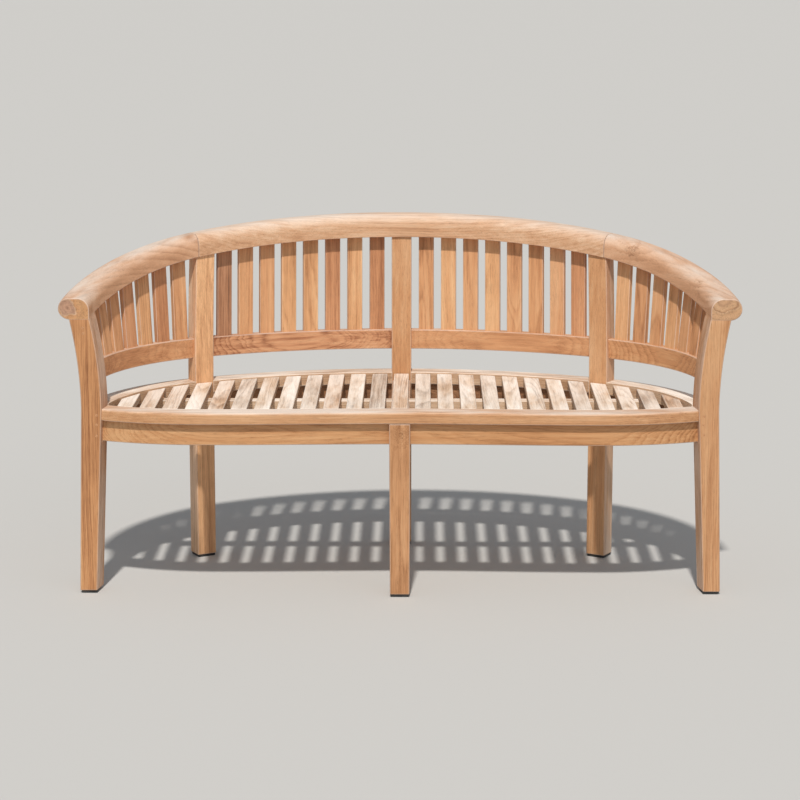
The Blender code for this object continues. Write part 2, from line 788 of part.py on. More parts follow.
def front_apron_ring_set(side, grow=0):
    middle = (APRON_TOP + APRON_BOTTOM) / 2
    setback = APRON_SETBACK + APRON_THICKNESS / 2
    section = rectangle(APRON_THICKNESS + 2 * grow, APRON_HEIGHT + 2 * grow, setback, middle)
    start = CENTRE_LEG_WIDTH / 2 + CLEARANCE
    end = FRONT_RAIL_END + grow
    return front_rail_rings(eased(section), *sorted((side * start, side * end)))


def front_apron_tenon(side, grow=0):
    """The tenon of a front apron in the centre leg."""
    middle = (APRON_TOP + APRON_BOTTOM) / 2
    height = APRON_HEIGHT - 2 * TENON_MARGIN
    depth = APRON_SETBACK + APRON_THICKNESS / 2 - FRONT_WAIST
    start = Vector((side * (CENTRE_LEG_WIDTH / 2 + CLEARANCE), depth, 0))
    joint = Joint(start, Vector((-side, 0, 0)), Vector((0, 1, 0)))
    return joint.tenon(TENON_THICKNESS, height, middle, grow=grow)


def side_rail_space(name, side, width, across):
    """The room that the rear rail or apron of a side bay takes up."""
    height = SEAT_HEIGHT - APRON_BOTTOM + 2 * OVERRUN
    outline = rectangle(width + 2 * CLEARANCE, height, across, (SEAT_HEIGHT + APRON_BOTTOM) / 2)
    return add_tool(name, [bay_rail_rings(SEAT_BOW, "side", side, outline)])


def make_front_rail():
    """The front rail, housed in the front legs and cut to the rear rails that meet it there."""
    rail = add_piece("seat_front_rail", [front_rail_ring_set()], TEAK_GOLD)
    across = SEAT_RAIL_WIDTH / 2 - POST_FACE
    for name, side in SIDES.items():
        space = side_rail_space("rear_rail_space_" + name, side, SEAT_RAIL_WIDTH, across)
        boolean(rail, space, "DIFFERENCE")
    boolean(rail, add_tool("seat_front_rail_mortise", [centre_leg_tenon(CLEARANCE)]), "DIFFERENCE")
    return rail


def make_front_apron(side_name, side):
    name = "front_apron_" + side_name
    apron = add_piece(name, [front_apron_ring_set(side)], TEAK_GOLD)
    space = side_rail_space("rear_apron_space_" + side_name, side, APRON_THICKNESS, 0)
    boolean(apron, space, "DIFFERENCE")
    boolean(apron, add_tool(name + "_tenon", [front_apron_tenon(side)]), "UNION")
    return apron


# Seat slats, bearer and cross rail

def post_before(low, high):
    """Whether a rear post stands right behind a slat."""
    for post in POSTS.values():
        face = SEAT_BOW.point(post, -POST_FACE).x
        half = SEAT_BOW.tangent(post).x * POST_WIDTH / 2
        if low < face + half and high > face - half:
            return True
    return False


def inner_edge_points():
    """Plan points along the rear rails' inner edge, from the centre post to a front leg."""
    points = []
    for bay in ("centre", "side"):
        inner, outer = bay_joints(SEAT_BOW, bay, 1)
        points.append(inner.origin - inner.across * POST_FACE)
        for reach in bay_reaches(SEAT_BOW, bay, 1, BAY_STEPS):
            points.append(SEAT_BOW.point(reach, -POST_FACE))
        points.append(outer.origin - outer.across * POST_FACE)
    return points


def inner_edge_depth(across, points):
    """Depth of the rear rails' inner edge at a distance from the middle line."""
    side = max(abs(across), points[0].x)
    for a, b in zip(points, points[1:]):
        if a.x <= side <= b.x:
            return mix(a.y, b.y, (side - a.x) / (b.x - a.x))
    return points[-1].y


def slat_side_outline(x, front, back, with_back_tongue):
    """A slat seen from the side, with its tongues, at a distance from the middle line."""
    low = TONGUE_BOTTOM
    high = TONGUE_BOTTOM + TONGUE_THICKNESS
    tongue = TONGUE_LENGTH - CLEARANCE
    points = [(front - tongue, high), (front - tongue, low), (front, low),
              (front, SLAT_BOTTOM), (back, SLAT_BOTTOM)]
    if with_back_tongue:
        points += [(back, low), (back + tongue, low), (back + tongue, high), (back, high)]
    points += [(back, SEAT_HEIGHT), (front, SEAT_HEIGHT), (front, high)]
    return [Vector((x, y, z)) for y, z in points]


def slat_rings(middle, edge_points):
    """A seat slat cut to the front rail and to the rear rails or a post."""
    rings = []
    low = middle - SLAT_WIDTH / 2
    high = middle + SLAT_WIDTH / 2
    start = front_line(middle - SLAT_PITCH / 2)
    end = front_line(middle + SLAT_PITCH / 2)
    for x in (low, high):
        share = (x - middle + SLAT_PITCH / 2) / SLAT_PITCH
        front = mix(start, end, share) + SEAT_RAIL_WIDTH + CLEARANCE
        back = inner_edge_depth(x, edge_points) - CLEARANCE
        rings.append(slat_side_outline(x, front, back, not post_before(low, high)))
    return rings


def make_seat():
    """The seat slats joined to the long bearer that carries them."""
    middles = [SLAT_PITCH * i for i in range(-SLATS_PER_SIDE, SLATS_PER_SIDE + 1)]
    edge_points = inner_edge_points()
    slats = [slat_rings(middle, edge_points) for middle in middles]
    seat = add_piece("seat_slats_with_bearer", slats, TEAK_PALE)
    front, back = bearer_sides()
    outline = [(front, BEARER_BOTTOM), (back, BEARER_BOTTOM),
               (back, SLAT_BOTTOM + BEARER_HOUSING), (front, SLAT_BOTTOM + BEARER_HOUSING)]
    rings = [[Vector((side * bearer_end(y), y, z)) for y, z in outline] for side in SIDES.values()]
    boolean(seat, add_tool("bearer", [rings]), "UNION")
    boolean(seat, add_tool("bearer_tenons", [bearer_tenon(s) for s in SIDES.values()]), "UNION")
    notch = lap_notch(CROSS_RAIL_WIDTH / 2 + CLEARANCE, front - OVERRUN, back + OVERRUN,
                      BEARER_BOTTOM - OVERRUN, LAP_HEIGHT + CLEARANCE / 2)
    boolean(seat, add_tool("bearer_notch", [notch]), "DIFFERENCE")
    return seat


def bearer_middle():
    """Depth of the bearer's middle line: its front edge bites into the outermost slats' ends."""
    inner_side = SLAT_PITCH * SLATS_PER_SIDE - SLAT_WIDTH / 2
    return inner_edge_depth(inner_side, inner_edge_points()) - BEARER_BITE + BEARER_WIDTH / 2


def bearer_sides():
    middle = bearer_middle()
    return middle - BEARER_WIDTH / 2, middle + BEARER_WIDTH / 2


def bearer_end(depth):
    """Distance from the middle line to the bearer's end, cut to the side rail's inner edge."""
    points = inner_edge_points()
    for a, b in zip(points, points[1:]):
        if b.y <= depth <= a.y:
            return mix(a.x, b.x, (a.y - depth) / (a.y - b.y)) - CLEARANCE
    return points[-1].x - CLEARANCE


def bearer_tenon(side, grow=0):
    """The bearer's stub tenon, which passes under the side rail into the rear apron."""
    end = bearer_end(bearer_sides()[1])
    depth = bearer_middle()
    joint = Joint(Vector((side * end, depth, 0)), Vector((side, 0, 0)), Vector((0, 1, 0)))
    reach = SEAT_BOW.reach_at_depth(depth, -APRON_THICKNESS / 2)
    face = SEAT_BOW.point(reach, -APRON_THICKNESS / 2).x
    length = face - end + APRON_THICKNESS / 2
    height = APRON_TOP - BEARER_BOTTOM - 2 * EASE
    middle = (APRON_TOP + BEARER_BOTTOM) / 2
    return joint.tenon(BEARER_WIDTH / 2, height, middle, length=length, grow=grow)


def lap_notch(half_width, front, back, low, high):
    outline = [(-half_width, front), (half_width, front), (half_width, back), (-half_width, back)]
    return [[Vector((x, y, z)) for x, y in outline] for z in (low, high)]


def cross_rail_joints():
    front = Vector((0, CENTRE_LEG_Y + LEG_DEPTH / 2 + CLEARANCE, 0))
    back = Vector((0, BOW_DEPTH - POST_FACE - CLEARANCE, 0))
    return (Joint(front, Vector((0, -1, 0)), Vector((1, 0, 0))),
            Joint(back, Vector((0, 1, 0)), Vector((1, 0, 0))))


def cross_rail_tenons(grow=0):
    middle = (APRON_TOP + APRON_BOTTOM) / 2
    height = APRON_HEIGHT - 2 * TENON_MARGIN
    length = POST_FACE - TENON_THICKNESS / 2 - 2 * EASE
    return [joint.tenon(TENON_THICKNESS, height, middle, length=length, grow=grow)
            for joint in cross_rail_joints()]


def make_cross_rail():
    """The rail from the centre front leg to the centre post, lapped with the bearer."""
    middle = CROSS_RAIL_TOP - CROSS_RAIL_HEIGHT / 2
    outline = eased(rectangle(CROSS_RAIL_WIDTH, CROSS_RAIL_HEIGHT, 0, middle))
    front, back = (joint.origin for joint in cross_rail_joints())
    across = Vector((1, 0, 0))
    rings = [ring(front, across, outline), ring(back, across, outline)]
    rail = add_piece("cross_rail", [rings], TEAK_GOLD)
    boolean(rail, add_tool("cross_rail_tenons", cross_rail_tenons()), "UNION")
    low, high = bearer_sides()
    notch = lap_notch(CROSS_RAIL_WIDTH / 2 + OVERRUN, low - CLEARANCE, high + CLEARANCE,
                      LAP_HEIGHT - CLEARANCE / 2, CROSS_RAIL_TOP + OVERRUN)
    boolean(rail, add_tool("cross_rail_notch", [notch]), "DIFFERENCE")
    return rail


# Glides

def glide_rings(origin, across, away, width, depth, grow=0):
    """A foot pad with a pin that is pressed up into the leg's end."""
    full = eased(rectangle(width, depth), GLIDE_EASE)
    worn = eased(rectangle(width - 2 * GLIDE_EASE, depth - 2 * GLIDE_EASE), GLIDE_EASE)
    turns = [(2 * i + 1) * pi / PIN_SIDES - pi for i in range(PIN_SIDES)]
    radius = PIN_RADIUS + grow
    pin = [Vector((radius * cos(a), radius * sin(a))) for a in turns]
    tip = GLIDE_HEIGHT + PIN_LENGTH + grow
    levels = [(worn, 0), (full, GLIDE_EASE), (full, GLIDE_HEIGHT), (pin, GLIDE_HEIGHT), (pin, tip)]
    if grow:
        levels = [(pin, GLIDE_HEIGHT), (pin, tip)]
    return [[origin + across * p.x + away * p.y + UP * h for p in outline]
            for outline, h in levels]


def glide_places():
    """For each leg: the middle of its foot, its directions in plan and its glide's size."""
    places = {}
    inner, outer = leg_edges(0)
    back_inner = inner - tan(LEG_INNER_TURN) * LEG_DEPTH / 2
    depth = LEG_DEPTH - 2 * GLIDE_INSET
    x_way, y_way = Vector((1, 0, 0)), Vector((0, 1, 0))
    for name, side in SIDES.items():
        middle = Vector((side * (back_inner + outer) / 2, LEG_DEPTH / 2, 0))
        width = outer - inner - 2 * GLIDE_INSET
        places["front_leg_" + name] = (middle, x_way, y_way, width, depth)
    middle = Vector((0, CENTRE_LEG_Y, 0))
    width = CENTRE_LEG_FOOT_WIDTH - 2 * GLIDE_INSET
    places["front_leg_centre"] = (middle, x_way, y_way, width, depth)
    for name, post in POSTS.items():
        places["rear_post_" + name] = (SEAT_BOW.point(post), SEAT_BOW.tangent(post),
                                       SEAT_BOW.normal(post), POST_WIDTH - 2 * GLIDE_INSET,
                                       POST_DEPTH - 2 * GLIDE_INSET)
    return places


# Assembly

def cut_slat_housings(top_rails, lower_rails):
    for side_name, side in SIDES.items():
        for bay in ("centre", "side"):
            tail = side_name + "_" + bay
            lofts = bay_slat_lofts(bay, side, CLEARANCE)
            top = top_rails["centre"] if bay == "centre" else top_rails[side_name]
            boolean(top, add_tool("top_housings_" + tail, lofts), "DIFFERENCE")
            if bay == "side":
                lofts = lofts[:-1]
            boolean(lower_rails[tail], add_tool("low_housings_" + tail, lofts), "DIFFERENCE")


def mortises_by_support(rails):
    """The mortise rings that each leg and post needs, by its name."""
    cuts = {"front_leg_left": [], "front_leg_right": [], "front_leg_centre": [],
            "rear_post_left": [], "rear_post_right": [], "rear_post_centre": []}
    for rail in rails:
        side_name = "left" if rail.side < 0 else "right"
        inner, outer = rail.tenons(CLEARANCE)
        if rail.bay == "centre":
            cuts["rear_post_centre"].append(inner)
            cuts["rear_post_" + side_name].append(outer)
        else:
            cuts["rear_post_" + side_name].append(inner)
            cuts["front_leg_" + side_name].append(outer)
    for side in SIDES.values():
        cuts["front_leg_centre"].append(front_apron_tenon(side, CLEARANCE))
    front, back = cross_rail_tenons(CLEARANCE)
    cuts["front_leg_centre"].append(front)
    cuts["rear_post_centre"].append(back)
    for name, place in glide_places().items():
        cuts[name].append(glide_rings(*place, grow=CLEARANCE))
    return cuts


def build():
    supports = {}
    for side_name, side in SIDES.items():
        supports["front_leg_" + side_name] = make_side_leg("front_leg_" + side_name, side)
    supports["front_leg_centre"] = make_centre_leg()
    for name, post in POSTS.items():
        supports["rear_post_" + name] = make_post("rear_post_" + name, post)

    top_rails = make_top_rails()
    mortises = [post_tenon(post, CLEARANCE) for post in POSTS.values()]
    boolean(top_rails["centre"], add_tool("top_mortises", mortises), "DIFFERENCE")
    for name, side in SIDES.items():
        mortise = add_tool("arm_mortise_" + name, [leg_tenon(side, CLEARANCE)])
        boolean(top_rails[name], mortise, "DIFFERENCE")

    rails = bay_rails()
    lower_rails = {}
    for rail in rails:
        colour = TEAK_RUSSET if rail.name.startswith("lower") else TEAK_GOLD
        piece = rail.make(colour)
        if rail.name.startswith("lower"):
            lower_rails[rail.name.replace("lower_back_rail_", "")] = piece
        if rail.name.startswith("rear_apron") and rail.bay == "side":
            tool = add_tool(rail.name + "_mortise", [bearer_tenon(rail.side, CLEARANCE)])
            boolean(piece, tool, "DIFFERENCE")
    cut_slat_housings(top_rails, lower_rails)
    make_back_slats(lower_rails)

    make_front_rail()
    for side_name, side in SIDES.items():
        make_front_apron(side_name, side)
    make_seat()
    make_cross_rail()

    for name, lofts in mortises_by_support(rails).items():
        boolean(supports[name], add_tool(name + "_mortises", lofts), "DIFFERENCE")
    for name, place in glide_places().items():
        add_piece("glide_" + name, [glide_rings(*place)], BLACK_PLASTIC, PLASTIC_ROUGHNESS)
    for rail in top_rails.values():
        shade(rail)


clear_scene()
BENCH = bpy.data.objects.new("bench", None)
BENCH.location = (0, -MIDDLE_Y, 0)
bpy.context.scene.collection.objects.link(BENCH)
SEAT_BOW = Bow(0)
TOP_BOW = Bow(1)
LOWER_SHARE = (LOWER_RAIL_MIDDLE - SEAT_HEIGHT) / (underside(1) - SEAT_HEIGHT)
LOWER_BOW = Bow(LOWER_SHARE * (1 + LOWER_SHARE) / 2)
RAIL_SPACE_STEPS = BOW_STEPS + 2 * ARM_STEPS
RAIL_SPACE = add_tool("rail_space", [top_rail_rings(-2, 2, RAIL_SPACE_STEPS, CLEARANCE)])
POST_SPACES = [add_tool("post_space_" + name, [post_rings(post, CLEARANCE)])
               for name, post in POSTS.items()]
build()
bpy.context.view_layer.update()
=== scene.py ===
"""The teak garden bench as it looks: every board rebuilt with fine edges and its own grain."""
import random
from math import acos, asin, atan2, cos, hypot, pi, radians, sin, sqrt, tan

import bpy
from mathutils import Euler, Matrix, Vector


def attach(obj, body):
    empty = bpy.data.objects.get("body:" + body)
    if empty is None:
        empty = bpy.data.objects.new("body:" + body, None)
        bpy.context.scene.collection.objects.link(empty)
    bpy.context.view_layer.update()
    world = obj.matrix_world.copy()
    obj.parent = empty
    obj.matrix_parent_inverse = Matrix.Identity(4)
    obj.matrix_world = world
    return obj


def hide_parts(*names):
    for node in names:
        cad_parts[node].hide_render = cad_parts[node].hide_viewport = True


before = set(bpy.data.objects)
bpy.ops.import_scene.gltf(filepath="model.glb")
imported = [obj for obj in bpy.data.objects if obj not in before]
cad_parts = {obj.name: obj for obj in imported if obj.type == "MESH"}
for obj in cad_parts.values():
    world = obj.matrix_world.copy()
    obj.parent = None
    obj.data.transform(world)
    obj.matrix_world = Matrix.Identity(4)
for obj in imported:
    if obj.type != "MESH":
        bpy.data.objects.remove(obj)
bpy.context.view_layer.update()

UP = Vector((0, 0, 1))
SIDES = {"left": -1, "right": 1}
POSTS = {"left": -1, "centre": 0, "right": 1}

# Sizes of the bench, in metres, the same as those of the solids
MIDDLE_Y = 0.26375
BOW_RADIUS = 1.021
BOW_DEPTH = 0.500
POST_SPREAD = 0.501
SIDE_SPREAD = 0.7225
BACK_LEAN = 0.036
ARM_SPREAD = 0.7645
GLIDE_HEIGHT = 0.006
SEAT_HEIGHT = 0.448
ARM_UNDERSIDE = 0.662
BACK_UNDERSIDE = 0.794
TOP_RAIL_WIDTH = 0.073
ARM_THICKNESS = 0.051
BACK_THICKNESS = 0.057
LEG_DEPTH = 0.055
LEG_SEAT = (0.7045, 0.7525)
LEG_FOOT = (0.7245, 0.765)
LEG_FLARE = 0.023
LEG_INNER_TURN = radians(9.5)
CENTRE_LEG_WIDTH = 0.050
CENTRE_LEG_FOOT_WIDTH = 0.0465
POST_WIDTH = 0.050
POST_DEPTH = 0.045
POST_FACE = POST_DEPTH / 2
SEAT_RAIL_WIDTH = 0.055
SEAT_RAIL_THICKNESS = 0.0275
FRONT_WAIST = 0.031
FRONT_BULGE = 0.014
FRONT_BULGE_SPREAD = 0.47
FRONT_END_SETBACK = 0.003
FRONT_RAIL_END = 0.7085
APRON_THICKNESS = 0.022
APRON_HEIGHT = 0.051
SLATS_PER_SIDE = 12
SLAT_PITCH = 0.0545
SLAT_WIDTH = 0.038
SLAT_THICKNESS = 0.018
BEARER_FORWARD = 0.222
BEARER_WIDTH = 0.034
BEARER_HEIGHT = 0.035
CROSS_RAIL_WIDTH = 0.045
CROSS_RAIL_HEIGHT = 0.050
LOWER_RAIL_MIDDLE = 0.5335
LOWER_RAIL_HEIGHT = 0.049
LOWER_RAIL_THICKNESS = 0.026
CENTRE_BAY_SLATS = 8
SIDE_BAY_SLATS = 7
SIDE_SLAT_START_SHARE = 0.0833
SIDE_SLAT_PITCH_SHARE = 0.1410
SIDE_SLAT_LEAN = 0.030
BACK_SLAT_THICKNESS = 0.013
SEAT_RAIL_BOTTOM = SEAT_HEIGHT - SEAT_RAIL_THICKNESS
SLAT_BOTTOM = SEAT_HEIGHT - SLAT_THICKNESS
BOW_TURN = asin(POST_SPREAD / BOW_RADIUS)
BOW_CENTRE_Y = BOW_DEPTH - BOW_RADIUS
CENTRE_LEG_Y = LEG_DEPTH / 2 - FRONT_WAIST
FRONTMOST = -FRONT_WAIST - FRONT_BULGE

# Sizes read from the photo after the solids were done, drawn here alone
BACK_SLAT_WIDTH = 0.038
APRON_SETBACK = 0.013
SLAT_END_GAP = 0.0016
REAR_RAIL_RISE = 0.0035
POST_HEAD_FORWARD = 0.009
SLAT_HEAD_FORWARD = 0.003

# The gap between pieces that touch, and how far pieces that join reach into each other
HAIRLINE = 0.0004
SINK = 0.002
APRON_TOP = SEAT_RAIL_BOTTOM - HAIRLINE
APRON_MIDDLE = APRON_TOP - APRON_HEIGHT / 2

# Edges that hands and weather have softened
EDGE = 0.0022
FINE_EDGE = 0.0012
SEAT_SLAT_EDGE = 0.0026
BACK_SLAT_EDGE = 0.0016
EDGE_STEPS = 3
SHARPEST_BEND = radians(32)
SEAT_RAIL_ROUNDING = 0.006

# Shares of the top rail's thickness and width that shape its section, and the slopes of its
# underside
TOP_FACE_HEIGHT = 0.45
TOP_INNER_CENTRE = -0.12
TOP_OUTER_CENTRE = 0.2
TOP_LOWER_CENTRE = 0.1
UNDERSIDE_START_SLOPE = 0.5
UNDERSIDE_END_SLOPE = 0.85

# Steps of each curve and loft
CROWN_STEPS = 11
SIDE_STEPS = 9
TOP_RAIL_STEPS = 84
ARM_STEPS = 60
STRAIGHT_STEPS = 6
FLARE_STEPS = 15
HEAD_STEPS = 6
POST_STEPS = 14
BAY_STEPS = 28
ROUNDING_STEPS = 8
FRONT_RAIL_STEPS = 96
FRONT_APRON_STEPS = 48

# Rounds of a search by halves, how far along the bow it looks for the rear rails' inner edge, and
# the distances from the middle line between which it looks for the bearer's end
SEARCH_ROUNDS = 40
RAIL_REACH = 1.999
BEARER_ENDS = (0.6, 0.72)

# Where the heart of the trunk can lie beside a board, in metres
HEART_DISTANCES = (0.055, 0.13)
HEART_DRIFT = 0.02
HEART_RUN = 60
RIFT_SHARE = 0.7

# Plugs, with the places of their middles on the legs' front faces
PLUG_RADIUS = 0.0032
PLUG_PROUD = 0.0002
PLUG_LENGTH = 0.006
PLUG_SIDES = 20
PLUG_PLACES = {
    "left_leg": ((-0.716, 0.434), (-0.7165, 0.411), (-0.717, 0.384)),
    "right_leg": ((0.717, 0.434), (0.716, 0.4135), (0.7175, 0.3895)),
    "left_leg_top": ((-0.7437, 0.6425), (-0.7431, 0.6298)),
}

# Glides
GLIDE_EDGE = 0.0005
GLIDE_DUST = (60, 60, 60)
GLIDE_TONES = ((0.4, (0.012, 0.012, 0.013)), (0.75, (0.05, 0.047, 0.043)))
GLIDE_ROUGHNESS = ((0.35, 0.38), (0.7, 0.62))
GLIDE_PITS = (900, 900, 900)
GLIDE_PIT_DEPTH = 0.0003

# Floor, sky, camera and lights
FLOOR_REACH = 120
FLOOR_CORNERS = 96
FLOOR_PAINT = (0.53, 0.525, 0.515, 1)
FLOOR_ROUGHNESS = 0.9
FLOOR_SHEEN = 0.1
SKY = (0.88, 0.94, 1.0, 1)
SKY_STRENGTH = 0.36
LENS = 112.5
SENSOR = 36
CLIP = (0.1, 200)
CAMERA_PLACE = (0.0537, -6.0418, 1.605)
CAMERA_TURN = (radians(90 - 11.09), 0, radians(0.527))
# Each light's name, the way to it, how wide it looks in degrees, its strength and its colour
LIGHTS = (
    ("key", (-0.04, -0.625, 1.0), 2.5, 3.15, (1.0, 0.955, 0.89)),
    ("fill", (0.55, -1.0, 0.45), 60, 0.31, (0.96, 0.98, 1.0)),
)


def mix(a, b, share):
    return a + (b - a) * share


def spaced(first, last, count):
    """Values from first to last, count steps apart."""
    return [mix(first, last, i / count) for i in range(count + 1)]


def last_place(low, high, holds):
    """The furthest value between low and high at which the test still holds."""
    for _ in range(SEARCH_ROUNDS):
        middle = (low + high) / 2
        if holds(middle):
            low = middle
        else:
            high = middle
    return low


# The bow: the plan curve that the back follows, by reach from the centre post outwards

class Bow:
    def __init__(self, lean_share):
        self.radius = BOW_RADIUS + BACK_LEAN * lean_share
        end_x = mix(SIDE_SPREAD, ARM_SPREAD, lean_share)
        joint = self.radius * Vector((sin(BOW_TURN), cos(BOW_TURN)))
        joint.y += BOW_CENTRE_Y
        run = end_x - joint.x
        half_turn = atan2(joint.y, run) - BOW_TURN
        self.side_turn = 2 * half_turn
        self.side_radius = hypot(run, joint.y) / (2 * sin(half_turn))
        self.side_centre = joint - self.side_radius * Vector((sin(BOW_TURN), cos(BOW_TURN)))
        self.post_reach = asin(POST_SPREAD / self.radius) / BOW_TURN

    def turn(self, reach):
        size = abs(reach)
        angle = BOW_TURN * size if size <= 1 else BOW_TURN + self.side_turn * (size - 1)
        return angle if reach >= 0 else -angle

    def point(self, reach, outward=0):
        angle = self.turn(abs(reach))
        if abs(reach) <= 1:
            x = (self.radius + outward) * sin(angle)
            y = BOW_CENTRE_Y + (self.radius + outward) * cos(angle)
        else:
            x = self.side_centre.x + (self.side_radius + outward) * sin(angle)
            y = self.side_centre.y + (self.side_radius + outward) * cos(angle)
        return Vector((x if reach >= 0 else -x, y, 0))

    def normal(self, reach):
        angle = self.turn(reach)
        return Vector((sin(angle), cos(angle), 0))

    def tangent(self, reach):
        angle = self.turn(reach)
        return Vector((cos(angle), -sin(angle), 0))

    def reach_past_post(self, distance):
        to_joint = (1 - self.post_reach) * self.radius * BOW_TURN
        return 1 + (distance - to_joint) / (self.side_radius * self.side_turn)

    def reach_before_post(self, distance):
        return self.post_reach - distance / (self.radius * BOW_TURN)

    def reach_past_centre(self, distance):
        return distance / (self.radius * BOW_TURN)

    def reach_at_depth(self, depth, outward=0):
        angle = acos((depth - self.side_centre.y) / (self.side_radius + outward))
        return 1 + (angle - BOW_TURN) / self.side_turn


SEAT_BOW = Bow(0)
TOP_BOW = Bow(1)


def underside(reach):
    share = TOP_BOW.point(reach).y / TOP_BOW.point(0).y
    ease_in = share * share * (3 - 2 * share)
    start = UNDERSIDE_START_SLOPE * share * (1 - share) ** 2
    end = UNDERSIDE_END_SLOPE * share * share * (1 - share)
    return mix(ARM_UNDERSIDE, BACK_UNDERSIDE, ease_in + start - end)


def post_top(post):
    return underside(post * TOP_BOW.post_reach)


def post_middle(post, height):
    foot = SEAT_BOW.point(post)
    head = TOP_BOW.point(post * TOP_BOW.post_reach)
    share = max(height - SEAT_HEIGHT, 0) / (post_top(post) - SEAT_HEIGHT)
    return mix(foot, Vector((foot.x, head.y, 0)), share * (1 + share) / 2)


LOWER_SHARE = (LOWER_RAIL_MIDDLE - SEAT_HEIGHT) / (underside(1) - SEAT_HEIGHT)
LOWER_BOW = Bow(LOWER_SHARE * (1 + LOWER_SHARE) / 2)


# Boards

class Grain:
    """How a board was sawn: the way its grain runs and where the heart of the trunk lies."""

    def __init__(self, seed, along, face, cut="flat", tilt=1.5, heart_at=None):
        chance = random.Random(seed)
        along = Vector(along).normalized()
        side = Vector(face).cross(along).normalized()
        face = along.cross(side)
        turn = Matrix((along, side, face)).transposed().to_4x4()
        lean = Euler((0, radians(chance.uniform(0.4, 1) * tilt * chance.choice((-1, 1))),
                      radians(chance.uniform(-0.6, 0.6) * tilt))).to_matrix().to_4x4()
        heart = chance.uniform(*HEART_DISTANCES) * chance.choice((-1, 1))
        drift = chance.uniform(-HEART_DRIFT, HEART_DRIFT)
        run = chance.uniform(0, HEART_RUN)
        if cut == "flat":
            offset = Vector((run, drift, heart))
        elif cut == "quarter":
            offset = Vector((run, heart, drift))
        else:
            offset = Vector((run, heart * RIFT_SHARE, abs(heart) * RIFT_SHARE))
        self.heart_at = heart_at
        if heart_at:
            offset = Vector((offset.x, 0, 0))
        self.turn = turn @ lean
        self.offset = offset


def board(name, points, faces, grain, look, node, edge=EDGE, segments=EDGE_STEPS, knots=(),
          painted_light_way=None, end_bands=None):
    """One wooden piece from points in the photograph's frame, sawn the way its grain says.

    Knots are places in that frame with their sizes. Faces that look the lit way are painted paler, a painted
    highlight for the light they catch.
    End bands are the tones of the end grain by distance from the heart.
    """
    places = [on_row(p) for p in points]
    middle = sum(places, Vector()) / len(places)
    if grain.heart_at:
        middle = on_row(grain.heart_at)
    mesh = bpy.data.meshes.new(name)
    mesh.from_pydata([tuple(p - middle) for p in places], [], faces)
    mesh.update()
    item = bpy.data.objects.new(name, mesh)
    bpy.context.scene.collection.objects.link(item)
    item.location = middle
    for axis, way in zip("xyz", grain.turn.col):
        item["grain_" + axis] = tuple(way[:3])
    item["grain_start"] = tuple(grain.offset)
    if knots or painted_light_way or end_bands:
        spots = [(tuple(grain.turn.inverted() @ (on_row(spot) - middle) + grain.offset), size)
                 for spot, size in knots]
        face_material = teak("teak_" + name, LOOKS[look], spots, painted_light_way, end_bands)
    else:
        face_material = shared_teak(look)
    mesh.materials.append(face_material)
    mesh.materials.append(shared_teak(look, True))
    mesh.shade_smooth()
    if edge:
        bevel = item.modifiers.new("worn_edges", "BEVEL")
        bevel.width = edge
        bevel.segments = segments
        bevel.limit_method = "ANGLE"
        bevel.angle_limit = SHARPEST_BEND
        bevel.harden_normals = True
        # The rounded edges take the paler edge material: wear with a painted highlight
        bevel.material = 1
    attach(item, "root")
    if node:
        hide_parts(node)
    return item


def on_row(place):
    """A place of the photograph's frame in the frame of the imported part."""
    return Vector(place) - Vector((0, MIDDLE_Y, 0))


def loft(rings):
    """Points and faces of a closed solid through rings, with its faces pointing out."""
    count = len(rings[0])
    points = [Vector(p) for ring_points in rings for p in ring_points]
    faces = [tuple(reversed(range(count)))]
    for level in range(len(rings) - 1):
        low = level * count
        for i in range(count):
            j = (i + 1) % count
            faces.append((low + i, low + j, low + count + j, low + count + i))
    faces.append(tuple((len(rings) - 1) * count + i for i in range(count)))
    total = 0
    for face in faces:
        a = points[face[0]]
        for i in range(1, len(face) - 1):
            total += a.dot(points[face[i]].cross(points[face[i + 1]]))
    if total < 0:
        faces = [tuple(reversed(face)) for face in faces]
    return points, faces


def rectangle(width, height, across=0, up=0):
    return [(across - width / 2, up - height / 2), (across + width / 2, up - height / 2),
            (across + width / 2, up + height / 2), (across - width / 2, up + height / 2)]


def arc(centre, radii, start, end, count):
    return [(centre[0] + radii[0] * cos(angle), centre[1] + radii[1] * sin(angle))
            for angle in spaced(start, end, count)]


def ring(origin, across, outline, height=0):
    return [origin + across * p[0] + UP * (p[1] + height) for p in outline]


# Teak

class Look:
    """A board's slot, its dark, middle and light tones, how far its top fades from weathering and a
    painted sheen and how strongly painted light shows on faces that look the lit way, how strong
    its figure is, how wide its growth rings are in metres, how streaky it is and the tone its top
    fades to: weathered teak with a painted sheen in it.
    """

    def __init__(self, slot, dark, mid, light, bleach_and_sheen=0.55, figure=1.0, year=0.0042, streaky=1.0,
                 weathered_and_lit=(0.68, 0.590, 0.520)):
        self.slot = slot
        self.dark = dark
        self.mid = mid
        self.light = light
        self.bleach_and_sheen = bleach_and_sheen
        self.figure = figure
        self.year = year
        self.streaky = streaky
        self.weathered_and_lit = weathered_and_lit

    def rim(self):
        """The look of the board's worn edges: paler and flatter, partly from wear and partly a painted
        highlight where the rounded edges catch the light.
        """
        tones = [tuple(mix(a, b, RIM_SHARE) for a, b in zip(tone, self.weathered_and_lit))
                 for tone in (self.dark, self.mid, self.light)]
        return Look(self.slot, *tones, self.bleach_and_sheen, self.figure * RIM_FIGURE, self.year, self.streaky,
                    self.weathered_and_lit)
